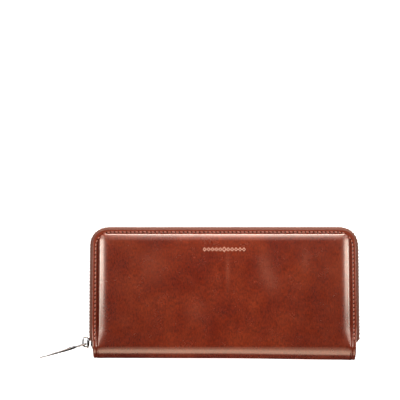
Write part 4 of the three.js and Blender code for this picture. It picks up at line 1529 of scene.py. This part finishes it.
def add_floor():
    """A pale sweep under the wallet."""
    size = 4.0
    corners = [(-size, -size), (size, -size), (size, size), (-size, size)]
    floor = stage_mesh("floor", [(x, y, -0.0002) for x, y in corners], [(0, 1, 2, 3)], 0.95)
    # Gloss sees the dark studio instead of the bright sweep, as round a wallet on a small lit table.
    floor.visible_glossy = False
    floor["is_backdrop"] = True


def add_backdrop():
    """A pale dome round the floor for low views. Only the camera sees it, so it lights nothing."""
    radius = 3.9
    rings = []
    for height in np.radians(np.linspace(0, 88, 12)):
        reach, z = radius * math.cos(height), radius * math.sin(height)
        rings.append([(reach * math.cos(turn), reach * math.sin(turn), z) for turn in turn_steps(64)])
    points, faces = loft(rings)
    backdrop = stage_mesh("backdrop", points, faces, 1.0)
    for rays in ("diffuse", "glossy", "transmission", "volume_scatter", "shadow"):
        setattr(backdrop, f"visible_{rays}", False)
    backdrop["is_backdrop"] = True


def add_studio():
    scene = bpy.context.scene
    world = bpy.data.worlds.new("studio")
    world.use_nodes = True
    background = world.node_tree.nodes["Background"]
    background.inputs["Color"].default_value = (1, 1, 1, 1)
    background.inputs["Strength"].default_value = 0.03
    scene.world = world
    scene.view_settings.view_transform = "Standard"
    # Each side has a bright softbox inside a wide dim one, so that its reflection fades out softly.
    for side, azimuth, radiance, dim in (("left", 180, 12.0, 1.2), ("right", 0, 11.0, 0.3)):
        x = math.copysign(0.09, math.cos(math.radians(azimuth)))
        add_softbox(f"{side}_softbox", azimuth, 50, 0.42, (0.11, 0.36), radiance, (x, 0.083, AIM_Z))
        add_softbox(f"{side}_halo", azimuth, 44, 0.42, (0.13, 0.42), dim, (x, 0.07, AIM_Z))
    for name, zenith, size, radiance, x in (
        ("top_softbox", 58, (0.23, 0.2), 4.7, 0.035),
        ("top_halo", 42, (0.26, 0.3), 1.2, 0.02),
        ("top_rim_light", 82, (0.34, 0.08), 21.0, 0.03),
    ):
        add_softbox(name, 90, zenith, 0.32, size, radiance, (x, 0.045, AIM_Z))
    for side, azimuth in (("left", 135), ("right", 45)):
        x = math.copysign(0.085, math.cos(math.radians(azimuth)))
        add_softbox(f"{side}_corner_light", azimuth, 52, 0.36, (0.16, 0.3), 3.4, (x, 0.05, AIM_Z))
    # The low lamps are nested too, so that the highlight on the fold starts and ends softly.
    for name, zenith, extent, radiance in (
        ("low_softbox", 70, 0.46, 1.9),
        ("low_middle", 64, 0.68, 1.1),
        ("low_halo", 55, 1.04, 1.05),
    ):
        add_softbox(name, 270, zenith, 0.6, (0.46, extent), radiance, (0, -0.045, AIM_Z), warmth=0.45)
    add_floor()
    add_backdrop()


def add_camera():
    """A long lens over the front cover, tipped a little so that it sees more of the spine."""
    view_width = 0.2888
    focal, sensor = 150.0, 36.0
    tip = math.radians(8)
    up = Vector((0, math.cos(tip), math.sin(tip)))
    back = Vector((0, -math.sin(tip), math.cos(tip)))
    camera = bpy.data.cameras.new("camera")
    camera.lens = focal
    camera.sensor_width = sensor
    camera.clip_end = 20
    holder = bpy.data.objects.new("camera", camera)
    # The wallet lies right of and well below the middle of the picture.
    aim = Vector((-0.0176, 0, THICKNESS * MM)) + up * 0.0668
    holder.location = aim + back * (view_width * focal / sensor)
    holder.rotation_euler = (tip, 0, 0)
    bpy.context.scene.collection.objects.link(holder)
    bpy.context.scene.camera = holder


add_camera()
build_wallet()
add_studio()

size_report = {"cad": cad_bounds, "visual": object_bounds()}
{name: [list(map(float, corner)) for corner in bounds] for name, bounds in size_report.items()}
